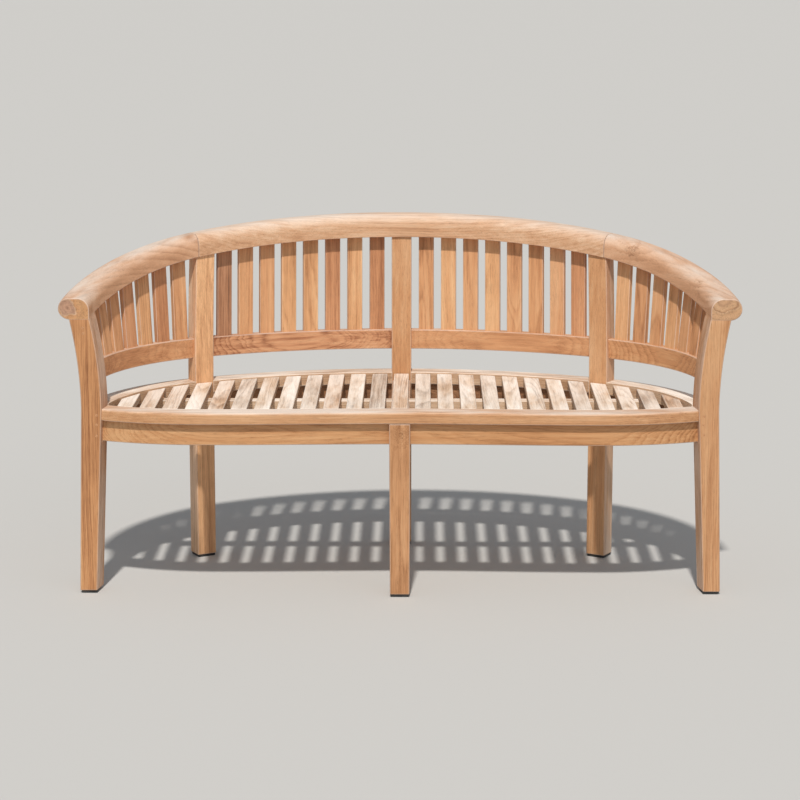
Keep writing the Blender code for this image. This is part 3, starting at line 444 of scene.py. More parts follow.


# The tone that the seat slats' tops fade to: weathered teak with a painted sheen in it
SEAT_WEATHERED_AND_SHEEN = (0.87, 0.80, 0.73)
# How far the edges' tones go toward the weathered tone, for wear and a painted highlight on the rounded
# edges
RIM_SHARE = 0.32
RIM_FIGURE = 0.6
LOOKS = {
    "seat": Look("teak_pale", (0.42, 0.26, 0.15), (0.66, 0.47, 0.32), (0.78, 0.63, 0.48), 0.95,
                 weathered_and_lit=SEAT_WEATHERED_AND_SHEEN),
    "seat_tan": Look("teak_pale", (0.34, 0.18, 0.09), (0.60, 0.385, 0.24), (0.73, 0.54, 0.38), 0.76, 1.2,
                     weathered_and_lit=SEAT_WEATHERED_AND_SHEEN),
    "seat_grey": Look("teak_pale", (0.34, 0.23, 0.16), (0.57, 0.435, 0.33), (0.72, 0.585, 0.47), 0.80, 1.2,
                      weathered_and_lit=SEAT_WEATHERED_AND_SHEEN),
    "rail": Look("teak_honey", (0.39, 0.19, 0.095), (0.61, 0.350, 0.200), (0.73, 0.49, 0.32), 0.80, 0.8,
                 0.0085),
    "arm": Look("teak_honey", (0.40, 0.195, 0.10), (0.62, 0.350, 0.205), (0.74, 0.49, 0.325), 0.82, 0.7,
                0.016, 0.4),
    "front": Look("teak_honey", (0.36, 0.16, 0.070), (0.54, 0.275, 0.130), (0.65, 0.375, 0.20), 0.9),
    # A dark look for the rear aprons: painted shade, for the deep shade under the seat seen through the gaps
    # between the slats
    "rear": Look("teak_gold", (0.11, 0.050, 0.026), (0.29, 0.140, 0.068), (0.42, 0.22, 0.115), 0.95),
    "frame": Look("teak_gold", (0.34, 0.15, 0.060), (0.555, 0.280, 0.132), (0.67, 0.39, 0.205), 0.75),
    "apron": Look("teak_gold", (0.33, 0.14, 0.052), (0.545, 0.264, 0.113), (0.66, 0.37, 0.18), 0.75),
    "calm": Look("teak_gold", (0.38, 0.17, 0.072), (0.565, 0.288, 0.135), (0.66, 0.385, 0.205), 0.75, 0.5),
    "russet": Look("teak_gold", (0.28, 0.110, 0.042), (0.565, 0.272, 0.118), (0.69, 0.39, 0.190), 0.75, 0.7),
    "bright": Look("teak_honey", (0.50, 0.25, 0.12), (0.78, 0.450, 0.235), (0.88, 0.58, 0.34), 0.5, 0.8),
    "amber": Look("teak_honey", (0.42, 0.19, 0.08), (0.66, 0.350, 0.168), (0.77, 0.475, 0.255), 0.5, 0.8),
    "tan": Look("teak_honey", (0.38, 0.165, 0.072), (0.60, 0.298, 0.140), (0.71, 0.405, 0.21), 0.5, 0.9),
    "plain": Look("teak_honey", (0.44, 0.195, 0.088), (0.62, 0.315, 0.155), (0.71, 0.41, 0.22), 0.5, 0.45),
    "rose": Look("teak_honey", (0.32, 0.13, 0.06), (0.555, 0.258, 0.122), (0.67, 0.35, 0.18), 0.5, 0.8),
    "flecked": Look("teak_honey", (0.27, 0.095, 0.042), (0.60, 0.295, 0.152), (0.72, 0.41, 0.23), 0.5, 0.75,
                    0.0026, 1.35),
    "umber": Look("teak_honey", (0.13, 0.055, 0.030), (0.400, 0.188, 0.096), (0.56, 0.295, 0.165), 0.5, 1.8),
}
MATERIALS = {}


def shared_teak(look, rim=False):
    """The material that all boards of one look share, made when the first one asks."""
    name = "teak_" + look + ("_worn_and_highlit_edge" if rim else "")
    if name not in MATERIALS:
        MATERIALS[name] = teak(name, LOOKS[look].rim() if rim else LOOKS[look])
    return MATERIALS[name]


class Tree:
    """Short names for adding and joining shader nodes."""

    def __init__(self, material):
        self.nodes = material.node_tree.nodes
        self.links = material.node_tree.links

    def put(self, socket, value):
        if isinstance(value, bpy.types.NodeSocket):
            self.links.new(value, socket)
        elif value is not None:
            socket.default_value = value

    def math(self, operation, a, b=None, clamp=False):
        node = self.nodes.new("ShaderNodeMath")
        node.operation = operation
        node.use_clamp = clamp
        self.put(node.inputs[0], a)
        self.put(node.inputs[1], b)
        return node.outputs[0]

    def vector(self, operation, a, b=None):
        node = self.nodes.new("ShaderNodeVectorMath")
        node.operation = operation
        self.put(node.inputs[0], a)
        self.put(node.inputs[1], b)
        return node.outputs["Value" if operation in ("LENGTH", "DOT_PRODUCT") else "Vector"]

    def noise(self, place, stretch, detail=2.0, rough=0.5, output="Fac"):
        node = self.nodes.new("ShaderNodeTexNoise")
        node.inputs["Scale"].default_value = 1
        node.inputs["Detail"].default_value = detail
        node.inputs["Roughness"].default_value = rough
        self.put(node.inputs["Vector"], self.vector("MULTIPLY", place, stretch))
        return node.outputs[output]

    def swing(self, place, stretch, detail=2.0, rough=0.5):
        """Noise that pulls a place to and fro, half as far as its size to each side."""
        return self.vector("SUBTRACT", self.noise(place, stretch, detail, rough, "Color"), HALF)

    def line_noise(self, value, scale, detail):
        node = self.nodes.new("ShaderNodeTexNoise")
        node.noise_dimensions = "1D"
        node.inputs["Scale"].default_value = scale
        node.inputs["Detail"].default_value = detail
        self.put(node.inputs["W"], value)
        return node.outputs["Fac"]

    def sum_of(self, parts, total=None):
        """The total with each part's swing round its middle added by its share."""
        for part, share in parts:
            swing = self.math("MULTIPLY", self.math("SUBTRACT", part, 0.5), share)
            total = swing if total is None else self.math("ADD", total, swing)
        return total

    def ramp(self, value, stops):
        node = self.nodes.new("ShaderNodeValToRGB")
        elements = node.color_ramp.elements
        while len(elements) < len(stops):
            elements.new(0.5)
        for element, (at, colour) in zip(elements, stops):
            element.position = at
            tone = (colour,) * 3 if isinstance(colour, (int, float)) else colour
            element.color = (*tone, 1)
        self.put(node.inputs[0], value)
        return node.outputs[0]

    def blend(self, share, a, b, kind="MIX"):
        node = self.nodes.new("ShaderNodeMix")
        node.data_type = "RGBA"
        node.blend_type = kind
        self.put(node.inputs["Factor"], share)
        for socket, value in ((node.inputs[6], a), (node.inputs[7], b)):
            self.put(socket, (*value, 1) if isinstance(value, tuple) else value)
        return node.outputs[2]

    def trait(self, name):
        """A vector that each board keeps as a property of its own."""
        node = self.nodes.new("ShaderNodeAttribute")
        node.attribute_type = "OBJECT"
        node.attribute_name = name
        return node.outputs["Vector"]

    def join(self, parts):
        node = self.nodes.new("ShaderNodeCombineXYZ")
        for socket, part in zip(node.inputs, parts):
            self.put(socket, part)
        return node.outputs[0]

    def bump(self, shader, height, strength, depth):
        node = self.nodes.new("ShaderNodeBump")
        node.inputs["Strength"].default_value = strength
        node.inputs["Distance"].default_value = depth
        self.put(node.inputs["Height"], height)
        self.put(shader.inputs["Normal"], node.outputs[0])


# Figures of the wood. Stretches are cycles of noise in a metre, along the grain and across it
HALF = (0.5, 0.5, 0.5)
FALL_BASE = 2.718
WANDER = (1.4, 9, 9)
WANDER_SIZE = (0, 0.026, 0.026)
RIPPLE = (9, 45, 45)
RIPPLE_SIZE = (0, 0.0040, 0.0040)
STREAKS = (2.2, 110, 110)
FIBRES = (16, 800, 800)
PATCHES = (3.0, 15, 15)
WHOLE = (0.45, 1.2, 1.2)
FLECKS = (28, 260, 260)
PORES = (55, 1400, 1400)
PORE_SHARE = 0.59
FIGURE_PLACES = (1.8, 10, 10)
EARLY_SHARE = 0.34
AGE_SHARE = 0.52
YEAR_JITTER = 1.9
YEAR_TONES = ((0, 0.45), (0.10, 0.0), (0.36, 0.55), (0.66, 0.92), (0.90, 1.0), (1, 0.45))
JITTER_SCALE = 0.4
STREAK_SHARE = 1.15
PATCH_SHARE = 1.1
WHOLE_SHARE = 0.6
FLECK_SHARE = 0.3
DRAWN = ((0.36, 0.25), (0.62, 1.0))
TONE_PLACES = (0.08, 0.5, 0.92)
END_YEAR_TONES = ((0, 0.60), (0.12, 0.66), (0.5, 0.95), (1, 0.82))
BANDED_YEAR_TONES = ((0, 0.80), (0.15, 0.84), (0.5, 1.0), (1, 0.92))
HAIR_TONES = ((0.28, 0.80), (0.5, 1.0), (0.72, 1.07))
CHALK_TONES = ((0, (0.52, 0.50, 0.49)), (0.5, (0.95, 0.94, 0.93)), (1, (1.12, 1.14, 1.16)))
BURNT = 0.42
PORE_DARKNESS = 0.38
# How fast the tops' weathering and painted sheen fall away as a face turns from the top
TOP_WEAR_AND_SHEEN_FALL = 1.5
# How much paler the faces that look the lit way are painted: painted light for the light they catch
PAINTED_LIGHT_WAY_RAMP = ((0.72, 0.0), (0.93, 0.62))
# Patches in which the weathering, the painted sheen and the painted light show
PATCHY_WEAR_AND_LIGHT = ((0.38, 0.22), (0.59, 1.0))
KNOT_FRAY = 2.2
KNOT_FRAY_SIZE = 2.4
KNOT_LENGTH = 0.6
SWIRL_FALL = -0.8
CORE_FALL = -4.5
SWIRL_PULL = 0.8
SWIRL_FIGURE = 0.9
SWIRL_SHELTER = 0.6
CORE_SHARE = 0.75
CORE_DARKNESS = 0.6
KNOT_SPECKS = (200, 420, 420)
KNOT_SPECK_TONES = ((0.42, 0.15), (0.56, 1.0))
END_FRAY = (0, 45, 45)
END_FRAY_SIZE = 0.022
END_TEARS = (300, 300, 300)
END_TEAR_TONES = ((0.36, 0.62), (0.5, 1.0))
END_FACES = ((0.72, 0.0), (0.9, 1.0))
END_SHARE = 0.8
BANDED_END_SHARE = 0.9
ROUGHNESS_PARTS = (0.6, 0.4)
ROUGHNESS = ((0.3, 0.74), (0.7, 0.56))
SHEEN = 0.35
FIBRE_HEIGHT = 0.55
RING_HEIGHT = 0.35
PORE_HEIGHT = 0.4
RELIEF = 0.4
RELIEF_DEPTH = 0.0006


def knotted(tree, place, distance, knots):
    """Distance from the heart with the knots' swirls in it, and where the swirls and cores are."""
    swirls = cores = None
    for spot, size in knots:
        fray = tree.swing(place, (KNOT_FRAY / size,) * 3, 4, 0.65)
        moved = tree.vector("ADD", place, tree.vector("MULTIPLY", fray, (KNOT_FRAY_SIZE * size,) * 3))
        apart = tree.vector("SUBTRACT", moved, spot)
        shrink = (KNOT_LENGTH / size, 1 / size, 1 / size)
        near = tree.vector("LENGTH", tree.vector("MULTIPLY", apart, shrink))
        near = tree.math("POWER", near, 2.0)
        swirl = tree.math("POWER", FALL_BASE, tree.math("MULTIPLY", near, SWIRL_FALL))
        core = tree.math("POWER", FALL_BASE, tree.math("MULTIPLY", near, CORE_FALL))
        distance = tree.math("ADD", distance, tree.math("MULTIPLY", swirl, SWIRL_PULL * size))
        swirls = swirl if swirls is None else tree.math("ADD", swirls, swirl)
        cores = core if cores is None else tree.math("ADD", cores, core)
    return distance, swirls, cores


def weathered_and_lit(tree, look, colour, faded_and_lit, patches, swirls, painted_light_way):
    """The colour with its tops weathered and given a painted sheen, and the faces that look the lit way
    painted paler as painted light, in patches.
    """
    normal = tree.nodes.new("ShaderNodeNewGeometry").outputs["Normal"]
    upward = tree.vector("DOT_PRODUCT", normal, tuple(UP))
    # Tops paler from weathering and from a painted sheen where the light falls on them
    worn_and_lit = tree.math("POWER", tree.math("MAXIMUM", upward, 0.0), TOP_WEAR_AND_SHEEN_FALL)
    if painted_light_way:
        # Faces that look the lit way are painted paler: painted light
        turned = tree.vector("DOT_PRODUCT", normal, tuple(Vector(painted_light_way).normalized()))
        worn_and_lit = tree.math("MAXIMUM", worn_and_lit, tree.ramp(turned, PAINTED_LIGHT_WAY_RAMP))
    worn_and_lit = tree.math("MULTIPLY", worn_and_lit, tree.ramp(patches, PATCHY_WEAR_AND_LIGHT))
    if swirls is not None:
        sheltered = tree.math("MULTIPLY", swirls, SWIRL_SHELTER)
        worn_and_lit = tree.math("MULTIPLY", worn_and_lit, tree.math("SUBTRACT", 1.0, sheltered, clamp=True))
    return tree.blend(tree.math("MULTIPLY", worn_and_lit, look.bleach_and_sheen, clamp=True), colour, faded_and_lit)


def end_grain(tree, look, colour, facing_end, place, radius, year, bands):
    """The colour with the board's ends in it, banded by distance from the heart or plain."""
    facing_end = tree.ramp(facing_end, END_FACES)
    if not bands:
        tone = tree.blend(1.0, look.mid, tree.ramp(year, END_YEAR_TONES), "MULTIPLY")
        return tree.blend(tree.math("MULTIPLY", facing_end, END_SHARE), colour, tone)
    reach = bands[-1][0]
    fray = tree.math("SUBTRACT", tree.noise(place, END_FRAY, 3), 0.5)
    frayed = tree.math("ADD", radius, tree.math("MULTIPLY", fray, END_FRAY_SIZE))
    tone = tree.ramp(tree.math("MULTIPLY", frayed, 1 / reach), [(at / reach, band) for at, band in bands])
    torn = tree.ramp(tree.noise(place, END_TEARS, 3, 0.7), END_TEAR_TONES)
    tone = tree.blend(1.0, tone, torn, "MULTIPLY")
    tone = tree.blend(1.0, tone, tree.ramp(year, BANDED_YEAR_TONES), "MULTIPLY")
    return tree.blend(tree.math("MULTIPLY", facing_end, BANDED_END_SHARE), colour, tone)


def teak(name, look, knots=(), painted_light_way=None, end_bands=None):
    """Bare teak: growth rings round the heart of the trunk, streaks, fibres, pores and knots."""
    material = bpy.data.materials.new(name)
    material.use_nodes = True
    tree = Tree(material)
    shader = tree.nodes["Principled BSDF"]
    spots = tree.nodes.new("ShaderNodeTexCoord")
    ways = [tree.trait("grain_" + axis) for axis in "xyz"]
    place = tree.join([tree.vector("DOT_PRODUCT", spots.outputs["Object"], way) for way in ways])
    place = tree.vector("ADD", place, tree.trait("grain_start"))

    bent = tree.vector("ADD", place, tree.vector("MULTIPLY", tree.swing(place, WANDER), WANDER_SIZE))
    bent = tree.vector("ADD", bent, tree.vector("MULTIPLY", tree.swing(place, RIPPLE), RIPPLE_SIZE))
    radius = tree.vector("LENGTH", tree.vector("MULTIPLY", bent, (0, 1, 1)))
    distance, swirls, cores = knotted(tree, place, radius, knots)
    jitter = tree.math("MULTIPLY", tree.line_noise(distance, JITTER_SCALE / look.year, 1), YEAR_JITTER)
    count = tree.math("ADD", tree.math("MULTIPLY", distance, 1 / look.year), jitter)
    year = tree.math("FRACT", count)
    early = tree.ramp(year, YEAR_TONES)
    age = tree.line_noise(tree.math("FLOOR", count), 1, 0)

    streaks = tree.noise(place, STREAKS, 4, 0.62)
    fibres = tree.noise(place, FIBRES, 3, 0.65)
    patches = tree.noise(bent, PATCHES, 4, 0.6)
    whole = tree.noise(place, WHOLE, 0)
    flecks = tree.noise(place, FLECKS, 2, 0.6)
    pore = tree.math("MULTIPLY", tree.math("GREATER_THAN", tree.noise(place, PORES, 1), PORE_SHARE),
                     tree.math("SUBTRACT", 1.0, early, clamp=True))
    drawn = tree.ramp(tree.noise(place, FIGURE_PLACES, 1), DRAWN)
    if knots:
        drawn = tree.math("ADD", drawn, tree.math("MULTIPLY", swirls, SWIRL_FIGURE))

    rings = tree.sum_of(((early, EARLY_SHARE * look.figure), (age, AGE_SHARE * look.figure)))
    tone = tree.math("MULTIPLY", rings, drawn)
    tone = tree.sum_of(((streaks, STREAK_SHARE * look.streaky), (patches, PATCH_SHARE),
                        (whole, WHOLE_SHARE), (flecks, FLECK_SHARE * look.streaky)), tone)
    tone = tree.math("ADD", tone, 0.5, clamp=True)
    hair = tree.ramp(fibres, HAIR_TONES)
    colour = tree.ramp(tone, tuple(zip(TONE_PLACES, (look.dark, look.mid, look.light))))
    colour = tree.blend(1.0, colour, hair, "MULTIPLY")
    burnt = tuple(c * BURNT for c in look.dark)
    colour = tree.blend(tree.math("MULTIPLY", pore, PORE_DARKNESS), colour, burnt)
    # The tone that tops fade to: weathered teak with a painted sheen
    faded_and_lit = tree.blend(1.0, look.weathered_and_lit, tree.ramp(tone, CHALK_TONES), "MULTIPLY")
    faded_and_lit = tree.blend(1.0, faded_and_lit, hair, "MULTIPLY")
    colour = weathered_and_lit(tree, look, colour, faded_and_lit, patches, swirls, painted_light_way)
    if knots:
        specks = tree.ramp(tree.noise(place, KNOT_SPECKS, 2, 0.7), KNOT_SPECK_TONES)
        share = tree.math("MULTIPLY", tree.math("MULTIPLY", cores, CORE_SHARE, clamp=True), specks)
        colour = tree.blend(share, colour, tuple(c * CORE_DARKNESS for c in look.dark))
    facing_end = tree.math("ABSOLUTE", tree.vector("DOT_PRODUCT", spots.outputs["Normal"], ways[0]))
    colour = end_grain(tree, look, colour, facing_end, place, radius, year, end_bands)
    tree.put(shader.inputs["Base Color"], colour)

    rough = tree.math("ADD", tree.math("MULTIPLY", fibres, ROUGHNESS_PARTS[0]),
                      tree.math("MULTIPLY", patches, ROUGHNESS_PARTS[1]))
    tree.put(shader.inputs["Roughness"], tree.ramp(rough, ROUGHNESS))
    shader.inputs["Specular IOR Level"].default_value = SHEEN
    height = tree.math("ADD", tree.math("MULTIPLY", fibres, FIBRE_HEIGHT),
                       tree.math("MULTIPLY", early, RING_HEIGHT))
    height = tree.math("SUBTRACT", height, tree.math("MULTIPLY", pore, PORE_HEIGHT))
    tree.bump(shader, height, RELIEF, RELIEF_DEPTH)
    return material


# Top rail

def top_rail_section(thickness):
    edge = TOP_RAIL_WIDTH / 2
    face = TOP_FACE_HEIGHT * thickness
    inner = TOP_INNER_CENTRE * TOP_RAIL_WIDTH
    outer = TOP_OUTER_CENTRE * TOP_RAIL_WIDTH
    under = TOP_LOWER_CENTRE * TOP_RAIL_WIDTH
    outline = [(-edge, 0)]
    outline += arc((inner, face), (edge + inner, thickness - face), pi, pi / 2, CROWN_STEPS)
    outline += arc((outer, thickness / 2), (edge - outer, thickness / 2), pi / 2, 0, SIDE_STEPS)
    outline += arc((under, thickness / 2), (edge - under, thickness / 2), 0, -pi / 2, SIDE_STEPS)[1:]
    return outline


def top_rail_rings(first, last, count):
    rings = []
    for reach in spaced(first, last, count):
        share = (underside(reach) - ARM_UNDERSIDE) / (BACK_UNDERSIDE - ARM_UNDERSIDE)
        section = top_rail_section(mix(ARM_THICKNESS, BACK_THICKNESS, share))
        across = TOP_BOW.normal(reach)
        if abs(reach) >= 2:
            across = Vector((1 if reach > 0 else -1, 0, 0))
        rings.append(ring(TOP_BOW.point(reach), across, section, underside(reach)))
    return rings


# Where the heart of the trunk leaves each arm's end, the tones of the end by distance from it,
# how far along the bow the arms' grain starts, and the knots of the arms with their sizes
ARM_HEARTS = {"left": (-0.780, 0.0, 0.688), "right": (0.757, 0.0, 0.711)}
ARM_END_BANDS = {
    "left": ((0, (0.40, 0.22, 0.145)), (0.006, (0.52, 0.30, 0.20)), (0.010, (0.44, 0.25, 0.17)),
             (0.015, (0.54, 0.32, 0.22)), (0.0175, (0.66, 0.44, 0.28)), (0.020, (0.56, 0.27, 0.115)),
             (0.030, (0.62, 0.32, 0.135)), (0.060, (0.56, 0.27, 0.11))),
    "right": ((0, (0.60, 0.36, 0.20)), (0.012, (0.55, 0.32, 0.18)), (0.023, (0.62, 0.38, 0.21)),
              (0.0275, (0.50, 0.28, 0.145)), (0.0292, (0.40, 0.20, 0.095)), (0.0310, (0.68, 0.44, 0.26)),
              (0.036, (0.58, 0.34, 0.18)), (0.060, (0.60, 0.35, 0.19))),
}
ARM_GRAIN_START = 1.1
ARM_KNOTS = {"left": (), "right": (((0.569, 0.324, 0.782), 0.030), ((0.710, 0.132, 0.731), 0.017))}


def make_top_rails():
    gap = HAIRLINE / 2 / (TOP_BOW.radius * BOW_TURN)
    points, faces = loft(top_rail_rings(gap - 1, 1 - gap, TOP_RAIL_STEPS))
    board("bowed_top_rail_centre", points, faces, Grain(11, (1, 0, 0), UP, "flat", 1.0),
          "rail", "top_rail_centre", FINE_EDGE, 2)
    for name, side in SIDES.items():
        points, faces = loft(top_rail_rings(side * (1 + gap), side * 2, ARM_STEPS))
        chord = TOP_BOW.point(side * 2) - TOP_BOW.point(side * ARM_GRAIN_START)
        grain = Grain(20 + side, chord, UP, "flat", 1.0, heart_at=ARM_HEARTS[name])
        board("bowed_arm_" + name, points, faces, grain, "arm", "top_rail_" + name,
              knots=ARM_KNOTS[name], end_bands=ARM_END_BANDS[name])


# Legs and posts

def leg_edges(height):
    if height <= SEAT_HEIGHT:
        share = height / SEAT_HEIGHT
        return mix(LEG_FOOT[0], LEG_SEAT[0], share), mix(LEG_FOOT[1], LEG_SEAT[1], share)
    share = (height - SEAT_HEIGHT) / (ARM_UNDERSIDE - SEAT_HEIGHT)
    flare = LEG_FLARE * share * share
    return LEG_SEAT[0] + flare, LEG_SEAT[1] + flare


# The middle leg's knot with its size, how far the leg tops stand back from the arms' ends, where
# the legs' heads end, and the lean to the front of the way that their faces with painted light look
MIDDLE_LEG_KNOTS = (((0.003, -0.031, 0.396), 0.016),)
LEG_TOP_RECESS = 0.0008
LEG_HEAD = underside(2) + TOP_FACE_HEIGHT * ARM_THICKNESS
LEG_PAINTED_LIGHT_LEAN = -0.17


def arm_inner_face(depth):
    """Distance from the middle line of the right arm's inner face, at a depth behind its end."""
    edge = -TOP_RAIL_WIDTH / 2
    if depth == 0:
        return ARM_SPREAD + edge
    return TOP_BOW.point(TOP_BOW.reach_at_depth(depth, edge), edge).x


def make_front_legs():
    for name, side in SIDES.items():
        rings = []
        heights = spaced(GLIDE_HEIGHT + HAIRLINE, SEAT_HEIGHT, STRAIGHT_STEPS)
        heights += spaced(SEAT_HEIGHT, underside(2), FLARE_STEPS)[1:]
        heights += spaced(underside(2), LEG_HEAD, HEAD_STEPS)[1:]
        for height in heights:
            inner, outer = leg_edges(height)
            share = max(0, (height - underside(2)) / (LEG_HEAD - underside(2)))
            front = LEG_TOP_RECESS if share else 0
            face = []
            for depth in (0, LEG_DEPTH / 3, LEG_DEPTH * 2 / 3, LEG_DEPTH):
                straight = inner - tan(LEG_INNER_TURN) * depth
                flush = arm_inner_face(depth) + LEG_TOP_RECESS * share
                face.append((mix(straight, flush, share * (2 - share)), max(depth, front)))
            corners = [face[0], (outer, front), (outer, LEG_DEPTH)] + face[:0:-1]
            rings.append([Vector((side * x, y, height)) for x, y in corners])
        points, faces = loft(rings)
        # The legs' inner faces are painted paler: painted light for the bright light they catch
        board("front_corner_leg_" + name, points, faces, Grain(30 + side, UP, (0, 1, 0), "rift", 0.8),
              "russet" if side < 0 else "frame", "front_leg_" + name, painted_light_way=(-side, LEG_PAINTED_LIGHT_LEAN, 0))
    rings = []
    for height in spaced(GLIDE_HEIGHT + HAIRLINE, SEAT_RAIL_BOTTOM - HAIRLINE, STRAIGHT_STEPS):
        width = mix(CENTRE_LEG_FOOT_WIDTH, CENTRE_LEG_WIDTH, height / SEAT_HEIGHT)
        rings.append([Vector((x, y, height)) for x, y in rectangle(width, LEG_DEPTH, 0, CENTRE_LEG_Y)])
    points, faces = loft(rings)
    board("front_middle_leg", points, faces, Grain(35, UP, (0, 1, 0), "flat", 1.2), "frame",
          "front_leg_centre", knots=MIDDLE_LEG_KNOTS)


def make_posts():
    for name, post in POSTS.items():
        top = post_top(post) + 2 * SINK
        heights = spaced(GLIDE_HEIGHT + HAIRLINE, SEAT_HEIGHT, STRAIGHT_STEPS)
        heights += spaced(SEAT_HEIGHT, top, POST_STEPS)[1:]
        across, away = SEAT_BOW.tangent(post), SEAT_BOW.normal(post)
        rings = []
        for height in heights:
            share = max(height - SEAT_HEIGHT, 0) / (top - SEAT_HEIGHT)
            origin = post_middle(post, height) - away * POST_HEAD_FORWARD * share * share
            rings.append([origin + across * x + away * y + UP * height
                          for x, y in rectangle(POST_WIDTH, POST_DEPTH)])
        points, faces = loft(rings)
        # The side posts' outer side faces are painted paler: painted light for the sky light they catch
        board("back_post_" + name, points, faces, Grain(40 + post, UP, away, "rift", 0.8),
              "bright" if post < 0 else "calm", "rear_post_" + name,
              painted_light_way=across * post if post else None)


# Rails that follow the bow

def bay_rail(name, bow, bay, side, outline, grain, look, node, sink=SINK, edge=EDGE):
    post = bow.point(side * bow.post_reach)
    normal = SEAT_BOW.normal(side)
    tangent = SEAT_BOW.tangent(side) * side
    half = POST_WIDTH / 2 - sink
    if bay == "centre":
        start = bow.point(side * bow.reach_past_centre(half))
        near = bow.point(side * bow.reach_before_post(half))
        end = post - tangent * half + normal * (near - post).dot(normal)
        planes = ((start, Vector((0, 1, 0))), (end, normal))
        span = (bow.reach_past_centre(half + 2 * sink), bow.reach_before_post(half + 2 * sink))
    else:
        near = bow.point(side * bow.reach_past_post(half))
        start = post + tangent * half + normal * (near - post).dot(normal)
        depth = LEG_DEPTH - sink
        end = bow.point(side * bow.reach_at_depth(depth))
        end.y = depth
        planes = ((start, normal), (end, Vector((side, 0, 0))))
        span = (bow.reach_past_post(half + 2 * sink), bow.reach_at_depth(LEG_DEPTH + sink))
    rings = [ring(planes[0][0], planes[0][1], outline)]
    for reach in spaced(*span, BAY_STEPS):
        rings.append(ring(bow.point(side * reach), bow.normal(side * reach), outline))
    rings.append(ring(planes[1][0], planes[1][1], outline))
    points, faces = loft(rings)
    return board(name, points, faces, grain(end - start), look, node, edge)


def rounded_rail(inner, outer, rise=0):
    """Seat rail section with a round outer top edge, which may stand above the slats."""
    soft = SEAT_RAIL_ROUNDING if outer > inner else -SEAT_RAIL_ROUNDING
    top = SEAT_HEIGHT + rise
    centre = (outer - soft, top - SEAT_RAIL_ROUNDING)
    outline = [(inner, SEAT_RAIL_BOTTOM), (inner, top)]
    outline += arc(centre, (soft, SEAT_RAIL_ROUNDING), pi / 2, 0, ROUNDING_STEPS)
    outline += [(outer, SEAT_RAIL_BOTTOM)]
    return outline


def make_bay_rails():
    seat = rounded_rail(-POST_FACE, SEAT_RAIL_WIDTH - POST_FACE, REAR_RAIL_RISE)
    lower = rectangle(LOWER_RAIL_THICKNESS, LOWER_RAIL_HEIGHT, 0, LOWER_RAIL_MIDDLE)
    apron = rectangle(APRON_THICKNESS, APRON_HEIGHT, 0, APRON_MIDDLE)
    for side_name, side in SIDES.items():
        for turn, bay in enumerate(("centre", "side")):
            tail = side_name + "_" + bay
            seed = 50 + 4 * side + turn
            look = ("flecked", "plain", "plain", "tan")[turn * 2 + (side > 0)]
            bay_rail("back_rail_" + tail, LOWER_BOW, bay, side, lower,
                     lambda way: Grain(seed, way, way.cross(UP), "flat", 1.6),
                     look, "lower_back_rail_" + tail, 2 * SINK)
            bay_rail("seat_rail_" + tail, SEAT_BOW, bay, side, seat,
                     lambda way: Grain(seed + 20, way, UP, "flat", 1.2),
                     "seat_tan", "seat_rear_rail_" + tail)
            # The rear aprons take the dark 'rear' look: painted shade under the seat
            bay_rail("apron_" + tail, SEAT_BOW, bay, side, apron,
                     lambda way: Grain(seed + 40, way, way.cross(UP), "flat", 1.2),
                     "rear", "rear_apron_" + tail)


def front_line(across):
    side = abs(across)
    if side <= FRONT_BULGE_SPREAD:
        share = side / FRONT_BULGE_SPREAD
        return -FRONT_WAIST - FRONT_BULGE * share * share * (3 - 2 * share)
    run = LEG_SEAT[0] - FRONT_BULGE_SPREAD
    drop = FRONT_END_SETBACK - FRONTMOST
    radius = (run * run + drop * drop) / (2 * drop)
    return radius + FRONTMOST - sqrt(radius * radius - (side - FRONT_BULGE_SPREAD) ** 2)


def front_rail(name, outline, first, last, count, grain, look, node):
    rings = []
    for x in spaced(first, last, count):
        rings.append([Vector((x, front_line(x) + back, height)) for back, height in outline])
    points, faces = loft(rings)
    return board(name, points, faces, grain, look, node)


def make_front_rails():
    front_rail("seat_rail_front", rounded_rail(SEAT_RAIL_WIDTH, 0), -FRONT_RAIL_END, FRONT_RAIL_END,
               FRONT_RAIL_STEPS, Grain(91, (1, 0, 0), UP, "flat", 0.8), "front", "seat_front_rail")
    outline = rectangle(APRON_THICKNESS, APRON_HEIGHT, APRON_SETBACK + APRON_THICKNESS / 2, APRON_MIDDLE)
    for name, side in SIDES.items():
        start = side * (CENTRE_LEG_WIDTH / 2 - SINK)
        front_rail("apron_front_" + name, outline, *sorted((start, side * FRONT_RAIL_END)),
                   FRONT_APRON_STEPS, Grain(92 + side, (1, 0, 0), (0, 1, 0), "flat", 0.7), "apron",
                   "front_apron_" + name)


# Seat

def rear_edge(across):
    """Depth of the rear rails' inner edge at a distance from the middle line."""
    side = max(abs(across), SINK)
    reach = last_place(0.0, RAIL_REACH, lambda reach: SEAT_BOW.point(reach, -POST_FACE).x < side)
    return SEAT_BOW.point(reach, -POST_FACE).y


def bearer_end():
    """Distance from the middle line where the bearer's back corner meets the side rail."""
    corner = BEARER_FORWARD + BEARER_WIDTH / 2
    return last_place(*BEARER_ENDS, lambda across: rear_edge(across) > corner)


# What each seat slat looks like, from left to right: pale, tan or grey
SEAT_LOOKS = {"p": "seat", "t": "seat_tan", "g": "seat_grey"}
SEAT_SLAT_LOOKS = "pttptgppgtpgtgppgpppgppgt"


